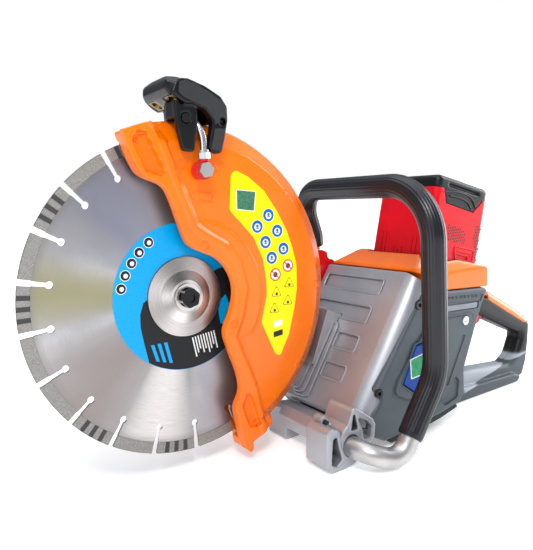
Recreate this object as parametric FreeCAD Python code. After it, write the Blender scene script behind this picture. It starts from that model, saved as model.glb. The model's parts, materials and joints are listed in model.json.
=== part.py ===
import FreeCAD, Part
import math
import os
from FreeCAD import Placement, Rotation, Vector

# Battery-powered rescue saw with a 300 mm blade, as separate pieces in millimetres.
# Working frame: origin at the blade's centre on the spindle axis, +X towards the operator,
# -Y to the operator's left (the side with the blade bolt) and +Z up.
# Every piece is moved at the end so that the bottom centre of the whole saw is the origin.

# --- driving dimensions ---------------------------------------------------------------------
BLADE_R = 150.0          # radius over the diamond segments
CORE_R = 139.0           # radius of the steel core under the segments
CORE_T = 2.8             # thickness of the steel core
SEGMENTS = 21            # segments round the rim, one gullet slot between each pair
SLOT_PHASE = 115.93      # angle of the first slot from +X towards +Z, degrees
TURBO = (1, 3, 6, 8, 11, 13, 16, 18, 20)   # segments with cross grooves
ARBOR_R = 10.0           # blade bore
FLANGE_R = 37.6          # clamping flanges

MOTOR_X, MOTOR_Z = 232.0, -100.0       # motor axis
SPINDLE_PULLEY_R = 33.0
MOTOR_PULLEY_R = 16.5
BELT_T = 2.6
BELT_Y0, BELT_Y1 = 34.0, 46.0

GUARD_NEAR_Y = -22.0     # outer face of the guard's left half
GUARD_SEAM_Y = -3.0      # where its two halves meet
GUARD_FAR_Y = 16.0       # outer face of its right half
GUARD_R = 161.5          # rim radius
GUARD_T = 3.0            # wall

ARM_Y0, ARM_Y1 = 17.0, 50.0            # belt arm casting
ARM_FRONT_R, ARM_REAR_R = 44.0, 30.0   # its outline round the two pulleys
COVER_Y1 = 54.0          # outer face of the belt cover
ARM_WALL = 4.0
MOTOR_CASE_R = 46.0

LEFT_Y, SPLIT_Y, RIGHT_Y = -92.0, -36.0, 56.0   # body: left face, joint plane, right face
WALL = 3.0

COVER_TILT = 33.5        # the front cover leans back by this much from vertical
COVER_FOOT = Vector(128.4, 0, -137.0)  # its lower front edge
COVER_H = 168.0          # its height along the slope
COVER_WALL = 4.0

BATTERY_TILT = 15.0      # the battery leans back
BATTERY_FOOT = Vector(241.5, 0, -2.3)  # its lower front edge
BATTERY_L, BATTERY_H = 86.0, 108.0
BATTERY_Y0, BATTERY_Y1 = -78.0, 6.0

TUBE_R = 10.0            # front handlebar tube
GRIP_R = 12.2            # rubber sleeve on it
HANDLE_Y0, HANDLE_Y1 = -49.0, -23.0    # rear handle
HANDLE_FOOT = 8.0        # its foot is wider by this much on either side
GROUND_Z = -171.0
CLEAR = 0.3              # gap between faces of pieces that move past each other
RUN = 0.05               # radial running clearance


# --- basic shapes ---------------------------------------------------------------------------
def box(x0, x1, y0, y1, z0, z1):
    return Part.makeBox(x1 - x0, y1 - y0, z1 - z0, Vector(x0, y0, z0))


def disc(r, y0, y1, x=0.0, z=0.0):
    """A cylinder along Y."""
    return Part.makeCylinder(r, y1 - y0, Vector(x, y0, z), Vector(0, 1, 0))


def ring(r_out, r_in, y0, y1, x=0.0, z=0.0):
    return disc(r_out, y0, y1, x, z).cut(disc(r_in, y0 - 1, y1 + 1, x, z))


def corner_edges(points, radius):
    """Edges of a closed outline whose corners are rounded; points are 3D and coplanar."""
    n = len(points)
    starts, ends, edges = [], [], []
    for i, p in enumerate(points):
        r = radius[i] if isinstance(radius, (list, tuple)) else radius
        before = (points[i - 1] - p)
        after = (points[(i + 1) % n] - p)
        a, b = Vector(before), Vector(after)
        a.normalize()
        b.normalize()
        half = math.acos(max(-1.0, min(1.0, a.dot(b)))) / 2
        if r <= 0 or half > math.radians(89.5):
            starts.append(p)
            ends.append(p)
            continue
        reach = min(r / math.tan(half), 0.48 * before.Length, 0.48 * after.Length)
        r = reach * math.tan(half)
        middle = a + b
        middle.normalize()
        centre = p + middle * (r / math.sin(half))
        first, last = p + a * reach, p + b * reach
        edges.append(Part.Arc(first, centre - middle * r, last).toShape())
        starts.append(first)
        ends.append(last)
    for i in range(n):
        a, b = ends[i], starts[(i + 1) % n]
        if (b - a).Length > 1e-6:
            edges.append(Part.LineSegment(a, b).toShape())
    return edges


def face_of(points, radius=0.0):
    edges = corner_edges(points, radius)
    return Part.Face(Part.Wire(Part.__sortEdges__(edges)))


def prism(outline, y0, y1, radius=0.0):
    """Extrude an (x, z) outline along Y."""
    face = face_of([Vector(x, y0, z) for x, z in outline], radius)
    return face.extrude(Vector(0, y1 - y0, 0))


def plank(outline, x0, x1, radius=0.0):
    """Extrude a (y, z) outline along X."""
    face = face_of([Vector(x0, y, z) for y, z in outline], radius)
    return face.extrude(Vector(x1 - x0, 0, 0))


def slab(outline, z0, z1, radius=0.0):
    """Extrude an (x, y) outline along Z."""
    face = face_of([Vector(x, y, z0) for x, y in outline], radius)
    return face.extrude(Vector(0, 0, z1 - z0))


def turned(profile):
    """Revolve a closed (r, y) profile about the spindle axis."""
    face = face_of([Vector(r, y, 0) for r, y in profile])
    return face.revolve(Vector(0, 0, 0), Vector(0, 1, 0), 360)


def hexagon(r, y0, y1, x=0.0, z=0.0, turn=0.0):
    """Six-sided prism along Y; r is half the width across flats."""
    corner = r / math.cos(math.radians(30))
    points = []
    for i in range(6):
        a = math.radians(60 * i + turn)
        points.append((x + corner * math.cos(a), z + corner * math.sin(a)))
    return prism(points, y0, y1)


def polar(r, degrees):
    return r * math.cos(math.radians(degrees)), r * math.sin(math.radians(degrees))


def joined(shapes):
    result = shapes[0]
    if len(shapes) > 1:
        result = shapes[0].multiFuse(shapes[1:])
    return result.removeSplitter()


def group(shapes):
    return Part.makeCompound(shapes)


def soften(shape, radius, wanted):
    """Fillet the edges for which wanted(edge) is true."""
    edges = [e for e in shape.Edges if wanted(e)]
    return shape.makeFillet(radius, edges)


def at_y(y):
    """Picks edges that lie in the plane at this y."""
    def wanted(edge):
        b = edge.BoundBox
        return abs(b.YMin - y) < 0.01 and abs(b.YMax - y) < 0.01
    return wanted


def bolt(x, z, y_head, y_tip, head_r=3.6, shank_r=1.9, head_h=3.2, socket_r=1.7):
    """Socket-head screw along +Y: its head starts at y_head."""
    head = disc(head_r, y_head, y_head + head_h, x, z)
    shank = disc(shank_r, y_head + head_h, y_tip, x, z)
    socket = hexagon(socket_r, y_head - 0.1, y_head + 1.8, x, z)
    return head.fuse(shank).cut(socket)


def loop_outline(r1, r2):
    """Outline round two circles: one on the spindle axis and one on the motor axis."""
    span = math.hypot(MOTOR_X, MOTOR_Z)
    along = math.degrees(math.atan2(MOTOR_Z, MOTOR_X))
    lean = math.degrees(math.acos((r1 - r2) / span))
    corners = []
    for side in (1, -1):
        x, z = polar(1.0, along + side * lean)
        corners.append(((r1 * x, r1 * z), (MOTOR_X + r2 * x, MOTOR_Z + r2 * z)))
    (a, b), (d, c) = corners
    return a, b, c, d


def loop_solid(r1, r2, y0, y1):
    middle = prism(loop_outline(r1, r2), y0, y1)
    return joined([middle, disc(r1, y0, y1), disc(r2, y0, y1, MOTOR_X, MOTOR_Z)])


def pipe(points, radii, r):
    """Round bar along straight runs joined by tangent arcs, one radius for each inner point."""
    pieces = []
    start = points[0]
    for i in range(1, len(points) - 1):
        p = points[i]
        a, b = points[i - 1] - p, points[i + 1] - p
        a.normalize()
        b.normalize()
        half = math.acos(a.dot(b)) / 2
        reach = radii[i - 1] / math.tan(half)
        first, last = p + a * reach, p + b * reach
        run = first - start
        pieces.append(Part.makeCylinder(r, run.Length, start, run))
        middle = a + b
        middle.normalize()
        centre = p + middle * (radii[i - 1] / math.sin(half))
        axis = (first - centre).cross(last - centre)
        axis.normalize()
        turn = 180 - math.degrees(2 * half)
        section = Part.Face(Part.Wire(Part.makeCircle(r, first, run)))
        pieces.append(section.revolve(centre, axis, turn))
        start = last
    run = points[-1] - start
    pieces.append(Part.makeCylinder(r, run.Length, start, run))
    return joined(pieces)


def leaned(shape, foot, tilt):
    """Carry a shape from a leaning local frame (X inward, Z up the slope) to the saw's."""
    shape = shape.copy()
    shape.Placement = Placement(foot, Rotation(Vector(0, 1, 0), tilt))
    return shape


# --- blade and spindle ----------------------------------------------------------------------
def slot_angle(i):
    return SLOT_PHASE + i * 360.0 / SEGMENTS


def gullet(i, y0, y1):
    """Keyhole slot: a round hole with a gap that widens towards the rim."""
    hole_r, hole_at = 3.3, 124.6
    narrow, wide = 1.7, 2.5
    outline = [(hole_at, -narrow), (BLADE_R + 2, -wide), (BLADE_R + 2, wide), (hole_at, narrow)]
    tool = prism(outline, y0, y1).fuse(disc(hole_r, y0, y1, hole_at))
    tool.rotate(Vector(0, 0, 0), Vector(0, 1, 0), -slot_angle(i))
    return tool


def blade_core():
    half = CORE_T / 2
    core = ring(CORE_R, ARBOR_R, -half, half)
    return core.cut(group([gullet(i, -3, 3) for i in range(SEGMENTS)]))


def blade_segments():
    half = 1.7
    pitch = 360.0 / SEGMENTS
    gap = math.degrees(2.6 / CORE_R)
    solids = []
    for i in range(SEGMENTS):
        first, last = slot_angle(i) + gap, slot_angle(i) + pitch - gap
        steps = 4
        angles = [first + (last - first) * k / steps for k in range(steps + 1)]
        outer = [polar(BLADE_R + 1, a) for a in angles]
        inner = [polar(CORE_R - 2, a) for a in reversed(angles)]
        segment = ring(BLADE_R, CORE_R, -half, half).common(prism(outer + inner, -half, half))
        if i in TURBO:
            grooves = []
            for k in range(3):
                x, z = polar(144.5, first + (last - first) * (k + 1) / 4)
                for y0 in (-half - 1, half - 0.6):
                    cut = box(-7, 7, y0, y0 + 1.6, -2.2, 2.2)
                    cut.rotate(Vector(0, 0, 0), Vector(0, 1, 0), -math.degrees(math.atan2(z, x)))
                    cut.translate(Vector(x, 0, z))
                    grooves.append(cut)
            segment = segment.cut(group(grooves))
        solids.append(segment)
    return group([s for shape in solids for s in shape.Solids])


def blade_label():
    face = -CORE_T / 2
    return ring(70.0, FLANGE_R + 0.4, face - 0.25, face)


def outer_flange():
    face = -CORE_T / 2
    rim, hub = 2.4, 5.6
    profile = [(5.4, face), (FLANGE_R, face), (FLANGE_R, face - rim), (25, face - rim - 0.8),
               (16, face - hub), (5.4, face - hub)]
    return turned(profile)


def inner_flange():
    face = CORE_T / 2
    return ring(FLANGE_R, ARBOR_R + RUN, face, 6.0)


def blade_bolt():
    seat = -CORE_T / 2 - 5.6
    washer = disc(13.0, seat - 1.8, seat)
    head = hexagon(8.5, seat - 8.6, seat - 1.8, turn=15)
    dimple = disc(4.2, seat - 9, seat - 7.2)
    shank = disc(5.2, seat, 16.0)
    return joined([washer, head, shank]).cut(dimple)


def spindle():
    profile = [(5.25, -1.2), (ARBOR_R - RUN, -1.2), (ARBOR_R - RUN, 6.0), (14.0, 6.0), (14.0, 9.2),
               (10.0, 9.2), (10.0, 31.0), (8.5, 31.0), (8.5, 49.0), (0, 49.0), (0, 18.0), (5.25, 18.0)]
    return turned(profile)


def grooved_pulley(r, bore, y0, y1, x=0.0, z=0.0):
    """Flat multi-groove pulley with side lips."""
    body = ring(r, bore, y0, y1, x, z)
    lips = [ring(r + 1.4, bore, y, y + 1.2, x, z) for y in (y0 - 1.3, y1 + 0.1)]
    hub = [ring(r, bore, y, y + 0.2, x, z) for y in (y0 - 0.1, y1 - 0.1)]
    return joined([body] + lips + hub)


def spindle_pulley():
    body = grooved_pulley(SPINDLE_PULLEY_R, 8.5, BELT_Y0, BELT_Y1)
    holes = []
    for k in range(6):
        x, z = polar(23.0, 60 * k)
        holes.append(disc(6.0, BELT_Y0 - 5, BELT_Y1 + 5, x, z))
    return body.cut(group(holes))


# --- belt arm -------------------------------------------------------------------------------


def cutting_arm():
    """Casting that carries the blade spindle and encloses the belt drive."""
    floor = 5.0
    body = loop_solid(ARM_FRONT_R, ARM_REAR_R, ARM_Y0, ARM_Y1)
    hollow = loop_solid(ARM_FRONT_R - ARM_WALL, ARM_REAR_R - ARM_WALL, ARM_Y0 + floor, ARM_Y1 + 1)
    hub = disc(30.0, 10.0, 28.0)
    motor_hub = disc(17.0, ARM_Y0, 27.0, MOTOR_X, MOTOR_Z)
    root = arm_root(0.0).cut(disc(MOTOR_CASE_R + 0.5, -5, ARM_Y0, MOTOR_X, MOTOR_Z))
    bosses = [disc(3.6, ARM_Y1 - 14, ARM_Y1, x, z).common(body) for x, z in cover_screw_places()]
    arm = joined([body.cut(hollow), hub, motor_hub, root] + bosses)
    arm = arm.cut(disc(20.0, 10.6, 29.0)).cut(disc(15.0, 9.0, 29.0))
    arm = arm.cut(disc(12.0, 18.0, 28.0, MOTOR_X, MOTOR_Z)).cut(disc(8.0, 9.0, 28.0, MOTOR_X, MOTOR_Z))
    for x, z in cover_screw_places():
        arm = arm.cut(disc(1.9, ARM_Y1 - 10, ARM_Y1 + 1, x, z))
    return arm


def arm_root(grow):
    """Lug that ties the arm to the body, beside the guard's rim."""
    half, near, far = 31.0 + grow, 171.0 - grow, 202.0 + grow
    lug = box(near, far, -4.0 - grow, ARM_Y0 + 1, -half, half)
    lug.rotate(Vector(0, 0, 0), Vector(0, 1, 0), -math.degrees(math.atan2(MOTOR_Z, MOTOR_X)))
    return lug


def cover_screw_places():
    """Screws in the rim that the belt arm and its cover share."""
    inset = 3.8
    a, b, c, d = loop_outline(ARM_FRONT_R - inset, ARM_REAR_R - inset)
    places = [polar(ARM_FRONT_R - inset, 154.0)]
    x, z = polar(ARM_REAR_R - inset, -26.0)
    places.append((MOTOR_X + x, MOTOR_Z + z))
    for first, last in ((a, b), (d, c)):
        for k in (0.12, 0.88):
            places.append((first[0] + k * (last[0] - first[0]), first[1] + k * (last[1] - first[1])))
    return places


def belt_cover():
    plate = loop_solid(ARM_FRONT_R, ARM_REAR_R, ARM_Y1, COVER_Y1)
    plate = soften(plate, 2.5, at_y(COVER_Y1))
    for inset, depth in ((8.0, 1.2), (16.0, 2.0)):
        panel = loop_solid(ARM_FRONT_R - inset, ARM_REAR_R - inset, COVER_Y1 - depth, COVER_Y1 + 1)
        plate = plate.cut(panel)
    for x, z in cover_screw_places():
        plate = plate.cut(disc(1.9, ARM_Y1 - 1, COVER_Y1 + 1, x, z))
        plate = plate.cut(disc(3.2, COVER_Y1 - 2.0, COVER_Y1 + 1, x, z))
    return plate


def casing_screws():
    """Socket screws of the left housing and of the belt cover."""
    screws = [bolt(x, z, LEFT_Y - 0.6, LEFT_Y + 7.5, 4.6, 1.9, 2.8, 2.0) for x, z in PANEL_SCREWS]
    for x, z in cover_screw_places():
        head = disc(3.1, COVER_Y1 - 2.0, COVER_Y1 + 0.4, x, z)
        shank = disc(1.85, ARM_Y1 - 9, COVER_Y1 - 2.0, x, z)
        screws.append(head.fuse(shank).cut(hexagon(1.5, COVER_Y1 - 1.0, COVER_Y1 + 1, x, z)))
    return group(screws)


def drive_belt():
    outer = loop_solid(SPINDLE_PULLEY_R + BELT_T, MOTOR_PULLEY_R + BELT_T, BELT_Y0 + 0.4, BELT_Y1 - 0.4)
    gap = 0.35
    inner = loop_solid(SPINDLE_PULLEY_R + gap, MOTOR_PULLEY_R + gap, BELT_Y0 - 1, BELT_Y1 + 1)
    return outer.cut(inner)


def bearing(r_out, r_in, y0, y1, x=0.0, z=0.0):
    body = ring(r_out, r_in, y0, y1, x, z)
    mid_out, mid_in = r_out - 2.6, r_in + 2.2
    faces = [ring(mid_out, mid_in, y0 - 1, y0 + 0.6, x, z), ring(mid_out, mid_in, y1 - 0.6, y1 + 1, x, z)]
    return body.cut(group(faces))


def ball_bearings():
    bore, shaft_bore = 10.0 + RUN, 6.0 + RUN
    places = [(20.0, bore, 10.8, 17.8, 0, 0), (20.0, bore, 20.2, 27.4, 0, 0),
              (12.0, shaft_bore, 18.4, 25.6, MOTOR_X, MOTOR_Z),
              (12.0, shaft_bore, -64.0, -57.0, MOTOR_X, MOTOR_Z)]
    return group([bearing(*p) for p in places])


# --- motor ----------------------------------------------------------------------------------
def motor_case():
    inside = MOTOR_CASE_R - 3.5
    shell = ring(MOTOR_CASE_R, inside, -62.0, 15.0, MOTOR_X, MOTOR_Z)
    back = ring(MOTOR_CASE_R, 12.0, -64.0, -57.0, MOTOR_X, MOTOR_Z)
    front = ring(MOTOR_CASE_R, 14.0, 12.0, 16.6, MOTOR_X, MOTOR_Z)
    case = joined([shell, back, front])
    openings = []
    for k in range(8):
        x, z = polar(28.5, 45 * k)
        openings.append(disc(7.5, -66, -55, MOTOR_X + x, MOTOR_Z + z))
    return case.cut(group(openings))


def motor_stator():
    yoke = ring(MOTOR_CASE_R - 3.6, 36.0, -46.0, 0.0, MOTOR_X, MOTOR_Z)
    teeth = []
    for k in range(12):
        tooth = box(26.5, 37.0, -46.0, 0.0, -3.2, 3.2)
        coil = box(29.0, 35.0, -51.0, 5.0, -5.6, 5.6)
        bar = tooth.fuse(coil)
        bar.rotate(Vector(0, 0, 0), Vector(0, 1, 0), 30 * k)
        bar.translate(Vector(MOTOR_X, 0, MOTOR_Z))
        teeth.append(bar)
    return joined([yoke] + teeth)


def rotor_core():
    return ring(21.5, 6.0, -45.0, -1.0, MOTOR_X, MOTOR_Z)


def rotor_magnets():
    magnets = []
    for k in range(8):
        arc = ring(24.8, 21.5, -44.0, -2.0).common(prism([(0, 0), polar(40, -18), polar(40, 18)], -50, 5))
        arc.rotate(Vector(0, 0, 0), Vector(0, 1, 0), 45 * k)
        arc.translate(Vector(MOTOR_X, 0, MOTOR_Z))
        magnets.append(arc)
    return group([s for m in magnets for s in m.Solids])


def motor_shaft():
    return disc(6.0, -78.0, 49.0, MOTOR_X, MOTOR_Z)


def drive_pulley():
    return grooved_pulley(MOTOR_PULLEY_R, 6.0, BELT_Y0, BELT_Y1, MOTOR_X, MOTOR_Z)


def cooling_fan():
    hub = ring(14.0, 6.0, -77.0, -67.0, MOTOR_X, MOTOR_Z)
    plate = ring(40.0, 6.0, -69.0, -67.0, MOTOR_X, MOTOR_Z)
    vanes = []
    for k in range(11):
        vane = box(12.0, 39.0, -77.0, -68.0, -0.9, 0.9)
        vane.rotate(Vector(12, 0, 0), Vector(0, 1, 0), 24)
        vane.rotate(Vector(0, 0, 0), Vector(0, 1, 0), 360.0 / 11 * k)
        vane.translate(Vector(MOTOR_X, 0, MOTOR_Z))
        vanes.append(vane.common(disc(40.0, -80, -66, MOTOR_X, MOTOR_Z)))
    return joined([hub, plate] + vanes)


# --- body -----------------------------------------------------------------------------------
SEAM = [(224, -20), (155, -107), (161, -119), (147, -133), (141, -142)]
BODY_OUTLINE = SEAM + [(150, -154), (166, -163), (215, -160), (252, -155), (280, -150),
                       (289, -141), (289, -113), (320, -46), (333, -28)]


def body_shell(y0, y1, open_side):
    """Half of the body casing, hollow and open at the joint plane."""
    outer = prism(BODY_OUTLINE, y0, y1, 4.0)
    edge = y0 if open_side > 0 else y1
    outer = soften(outer, 4.0, at_y(edge))
    middle_x, middle_z = 230.0, -95.0
    inner_outline = []
    for x, z in BODY_OUTLINE:
        reach = math.hypot(x - middle_x, z - middle_z)
        k = (reach - WALL * 1.35) / reach
        inner_outline.append((middle_x + (x - middle_x) * k, middle_z + (z - middle_z) * k))
    if open_side > 0:
        inner = prism(inner_outline, y0 + WALL, y1 + 1)
    else:
        inner = prism(inner_outline, y0 - 1, y1 - WALL)
    return outer.cut(inner)


HATCH = [(238, -48), (300, -50.5), (306, -60), (262, -136), (236, -145), (176, -118), (182, -104),
         (222, -58)]
BADGE = [(209, -71), (232, -68), (239, -82), (233, -106), (206, -121), (189, -108)]
PANEL_SCREWS = [(219, -31), (159, -111)]
LOCK_X, LOCK_Z = 288.0, -58.5


def left_housing():
    shell = body_shell(LEFT_Y, SPLIT_Y, 1)
    shell = shell.cut(prism(HATCH, LEFT_Y - 1, LEFT_Y + 1.8, 6.0))
    rim = prism([(238, -27), (322, -33.5), (317.5, -41.5), (236, -33.5)], LEFT_Y - 1, LEFT_Y + 1.0, 1.5)
    strip = prism([(236, -36), (314, -41), (312, -48.5), (236, -44)], LEFT_Y - 1, LEFT_Y + 1.6, 1.5)
    scoop = prism([(255, -132), (272, -117), (279, -124), (276, -143), (256, -148), (248, -142)],
                  LEFT_Y - 1, LEFT_Y + 2.0, 5.0)
    shell = shell.cut(rim).cut(strip).cut(scoop)
    shell = shell.cut(panel_screw_room())
    shell = shell.cut(disc(5.0 + CLEAR, LEFT_Y - 1, LEFT_Y + 2.4, LOCK_X, LOCK_Z))
    return shell.cut(battery_well())


def panel_screw_room():
    """Seats and holes of the left panel's screws."""
    seats = [disc(5.0, LEFT_Y - 1, LEFT_Y + 2.4, x, z) for x, z in PANEL_SCREWS]
    holes = [disc(2.1, LEFT_Y, LEFT_Y + 8, x, z) for x, z in PANEL_SCREWS]
    return group(seats + holes)


def side_hatch():
    """Raised panel set into the left face, with a window for the badge."""
    panel = prism(HATCH, LEFT_Y + 0.2, LEFT_Y + 1.8, 6.0)
    inset = [(x + (236 - x) * 0.05, z + (-98 - z) * 0.07) for x, z in HATCH]
    raised = prism(inset, LEFT_Y - 1.8, LEFT_Y + 0.2, 6.0)
    panel = joined([panel, raised])
    panel = panel.cut(prism(BADGE, LEFT_Y - 3, LEFT_Y + 0.9, 3.0))
    groove = prism([(284, -73), (288, -75), (258, -126), (254, -123)], LEFT_Y - 3, LEFT_Y - 0.8, 1.5)
    return panel.cut(groove).cut(disc(5.0 + CLEAR, LEFT_Y - 3, LEFT_Y + 4, LOCK_X, LOCK_Z))


def badge():
    body = prism([(x + (213 - x) * 0.04, z + (-94 - z) * 0.04) for x, z in BADGE], LEFT_Y - 3.0,
                 LEFT_Y + 0.9, 3.0)
    return soften(body, 1.8, at_y(LEFT_Y - 3.0))


def panel_lock():
    """Quarter-turn fastener of the left panel: slotted head and stem."""
    head = disc(5.0, LEFT_Y - 3.2, LEFT_Y + 2.1, LOCK_X, LOCK_Z)
    head = soften(head, 0.8, at_y(LEFT_Y - 3.2))
    slot = box(LOCK_X - 6, LOCK_X + 6, LEFT_Y - 4, LEFT_Y - 2.2, LOCK_Z - 0.8, LOCK_Z + 0.8)
    return head.cut(slot)


def right_housing():
    shell = body_shell(SPLIT_Y, RIGHT_Y, -1)
    vents = []
    for k in range(7):
        x = 206 + 15 * k
        vents.append(prism([(x, -52), (x + 6, -52), (x + 2, -36), (x - 4, -36)], RIGHT_Y - 5, RIGHT_Y + 1))
        if k < 4:
            vents.append(prism([(x - 2, -153), (x + 4, -153), (x + 8, -146), (x + 2, -146)],
                               RIGHT_Y - 5, RIGHT_Y + 1))
    shell = shell.cut(arm_passage()).cut(disc(MOTOR_CASE_R + 0.4, -70, ARM_Y0, MOTOR_X, MOTOR_Z))
    return shell.cut(group(vents)).cut(battery_well())


def cover_section(inset):
    """The front cover's section across the saw: rounded towards both sides and at its top corners."""
    left, right = LEFT_Y + 1.6 + inset, RIGHT_Y - 0.4 - inset
    deep, near_side, far_side = 60.0, 16.0, 6.0
    near = Part.Arc(Vector(near_side, left, 0), Vector(inset + 4.2, left + 7.0, 0),
                    Vector(inset, left + 23.0, 0))
    far = Part.Arc(Vector(inset, right - 5.0, 0), Vector(inset + 1.6, right - 1.6, 0),
                   Vector(far_side, right, 0))
    edges = [near.toShape(), far.toShape()]
    corners = [Vector(far_side, right, 0), Vector(deep, right, 0), Vector(deep, left, 0),
               Vector(near_side, left, 0)]
    edges += [Part.LineSegment(a, b).toShape() for a, b in zip(corners, corners[1:])]
    edges.append(Part.LineSegment(Vector(inset, left + 23.0, 0), Vector(inset, right - 5.0, 0)).toShape())
    face = Part.Face(Part.Wire(Part.__sortEdges__(edges)))
    face.translate(Vector(0, 0, -20))
    body = face.extrude(Vector(0, 0, COVER_H + 60))
    outline = [(left - 1, -30), (right + 1, -30), (right + 1, COVER_H - 9), (right - 5, COVER_H + 0.5),
               (-66, COVER_H + 0.5), (left - 1, COVER_H - 6)]
    body = body.common(plank(outline, -5, deep, 4.0).fuse(box(14, deep, left, right, -30, COVER_H + 30)))
    return leaned(body, COVER_FOOT, COVER_TILT)


def slope(s, depth=0.0):
    """(x, z) of a point up the front cover's slope and a depth behind its face."""
    a = math.radians(COVER_TILT)
    x = COVER_FOOT.x + s * math.sin(a) + depth * math.cos(a)
    z = COVER_FOOT.z + s * math.cos(a) - depth * math.sin(a)
    return x, z


def front_cover():
    crown = (231, -3)
    outline = [slope(0), slope(COVER_H), crown] + SEAM
    outer = prism(outline, LEFT_Y, RIGHT_Y, [5, 6, 5, 0, 3, 3, 3, 0]).common(cover_section(0.0))
    hollow = prism([slope(6, COVER_WALL), slope(COVER_H - 6, COVER_WALL), (229, -12), (233, -30),
                    (150, -150)],
                   LEFT_Y + 4, RIGHT_Y - 4)
    cover = outer.cut(hollow.common(cover_section(COVER_WALL)))
    recesses = [recess(*place) for place in COVER_RECESSES]
    cover = joined([cover.cut(group(recesses)), arm_fairing()])
    return cover.cut(arm_passage()).cut(panel_screw_room())


COVER_RECESSES = [(-51, 46, 137, 155), (-49, 46, 103, 122), (-47, -12, 69, 88), (-47, -12, 35, 53)]


def recess(y0, y1, s0, s1, depth=2.2):
    points = [Vector(-1, y0, s0), Vector(-1, y1, s0), Vector(-1, y1, s1), Vector(-1, y0, s1)]
    pocket = face_of(points, 4.0).extrude(Vector(1 + depth, 0, 0))
    return leaned(pocket, COVER_FOOT, COVER_TILT)


def arm_passage():
    """Room for the belt arm and its root through the body."""
    tunnel = loop_solid(ARM_FRONT_R + 0.6, ARM_REAR_R + 0.6, ARM_Y0 - 0.5, RIGHT_Y + 5)
    return tunnel.fuse(arm_root(0.6))


def arm_fairing():
    """Stepped bulge of the front cover where the arm leaves it."""
    steps = []
    for k, (y0, rise) in enumerate(((-9.0, 2.5), (-3.0, 5.0), (4.0, 7.0))):
        low, high = 8 + 3 * k, 97 - 4 * k
        points = [Vector(-rise, y0, low), Vector(-rise, 16.0, low), Vector(-rise, 16.0, high),
                  Vector(-rise, y0, high)]
        block = face_of(points, [3, 0, 0, 9]).extrude(Vector(rise + 1.5, 0, 0))
        steps.append(leaned(block, COVER_FOOT, COVER_TILT))
    return joined(steps)


def top_outline():
    crest = (246, 20)
    rear = (335, -5)
    return [slope(COVER_H + 0.3), crest, rear, (335, -27.4), (226, -19.2), (233.2, -2.6)]


def top_cover():
    left, right = LEFT_Y + 3, RIGHT_Y - 1
    body = prism(top_outline(), left, right, [2, 12, 5, 3, 0, 0])
    section = [(left, -40), (left, -4), (left + 6, 6), (-66, 24), (16, 24), (right - 5, 3), (right, -4),
               (right, -40)]
    body = body.common(plank(section, 200, 350, 5.0))
    hollow = prism([(238, -30), (248, 13), (330, -9), (330, -30)], left + 5, right - 5)
    lid = [(left + 4, -45), (left + 4, -6), (-68, 18), (14, 18), (right - 9, -2), (right - 5, -45)]
    body = body.cut(hollow.common(plank(lid, 200, 350)))
    return body.cut(battery_well())


def battery_frame(shape):
    return leaned(shape, BATTERY_FOOT, BATTERY_TILT)


def battery_well():
    """Room for the battery dock's sleeve."""
    return battery_frame(box(-3.2, BATTERY_L + 3.2, BATTERY_Y0 - 3.2, BATTERY_Y1 + 3.2, -3.2, 60))


def battery_dock():
    sleeve = box(-3, BATTERY_L + 3, BATTERY_Y0 - 3, BATTERY_Y1 + 3, -3, 19)
    well = box(-CLEAR, BATTERY_L + CLEAR, BATTERY_Y0 - CLEAR, BATTERY_Y1 + CLEAR, 0, 20)
    block = box(28, 58, -54, -18, -1, 6)
    finger_cut = box(30, 74, BATTERY_Y0 - 4, BATTERY_Y0, 8, 20)
    dock = sleeve.cut(well).fuse(block)
    slots = [box(31.9, 54.1, y - 0.6, y + 0.6, 1, 7) for y in terminal_places()]
    return battery_frame(dock.cut(finger_cut).cut(group(slots)))


def terminal_places():
    return [-48.0, -40.0, -32.0, -24.0]


def dock_terminals():
    blades = [battery_frame(box(32, 54, y - 0.5, y + 0.5, 1, 13)) for y in terminal_places()]
    return group(blades)


def controller():
    """Power electronics: a board with three shielded blocks."""
    board = box(216, 294, -86, -50, -49, -46)
    blocks = [box(221 + 24 * k, 239 + 24 * k, -82, -58, -47, -38) for k in range(3)]
    return joined([board] + blocks)


# --- battery --------------------------------------------------------------------------------
CAP_Z = 94.0


def grip_outline(inset=0.0):
    return [(10 + inset, 96), (17 + inset, 79 + inset), (64 - inset, 77.5 + inset), (77 - inset, 92),
            (77 - inset, 96)]


def battery_case():
    body = box(0, BATTERY_L, BATTERY_Y0, BATTERY_Y1, 0, CAP_Z)
    body = soften(body, 7.0, lambda e: abs(e.BoundBox.ZMax - e.BoundBox.ZMin - CAP_Z) < 0.01)
    body = body.cut(box(3, BATTERY_L - 3, BATTERY_Y0 + 3, BATTERY_Y1 - 3, 18, CAP_Z + 1))
    body = body.cut(box(26, 60, -56, -16, -1, 15))
    for y0, y1 in ((BATTERY_Y0 - 1, BATTERY_Y0 + 2.2), (BATTERY_Y1 - 2.2, BATTERY_Y1 + 1)):
        body = body.cut(prism(grip_outline(), y0, y1))
    grooves = []
    for y, top in ((-62, 40), (-56, 40), (-42, 28), (-36, 25), (-30, 28), (-16, 44), (-10, 44)):
        grooves.append(box(-1, 0.9, y, y + 1.4, 14, top))
    body = body.cut(group(grooves))
    return battery_frame(body.cut(latch_pocket()))


def latch_pocket():
    return box(38, 70, BATTERY_Y0 - 1, BATTERY_Y0 + 6.0, 15, 31)


def battery_latch():
    """Sprung release key in the battery's left side: a cupped finger pad."""
    gap = CLEAR
    pad = box(38 + gap, 70 - gap, BATTERY_Y0 + 0.2, BATTERY_Y0 + 3.0, 15 + gap, 31 - gap)
    cup = box(41, 67, BATTERY_Y0 - 1, BATTERY_Y0 + 1.6, 18, 28)
    return battery_frame(pad.cut(cup))


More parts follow.
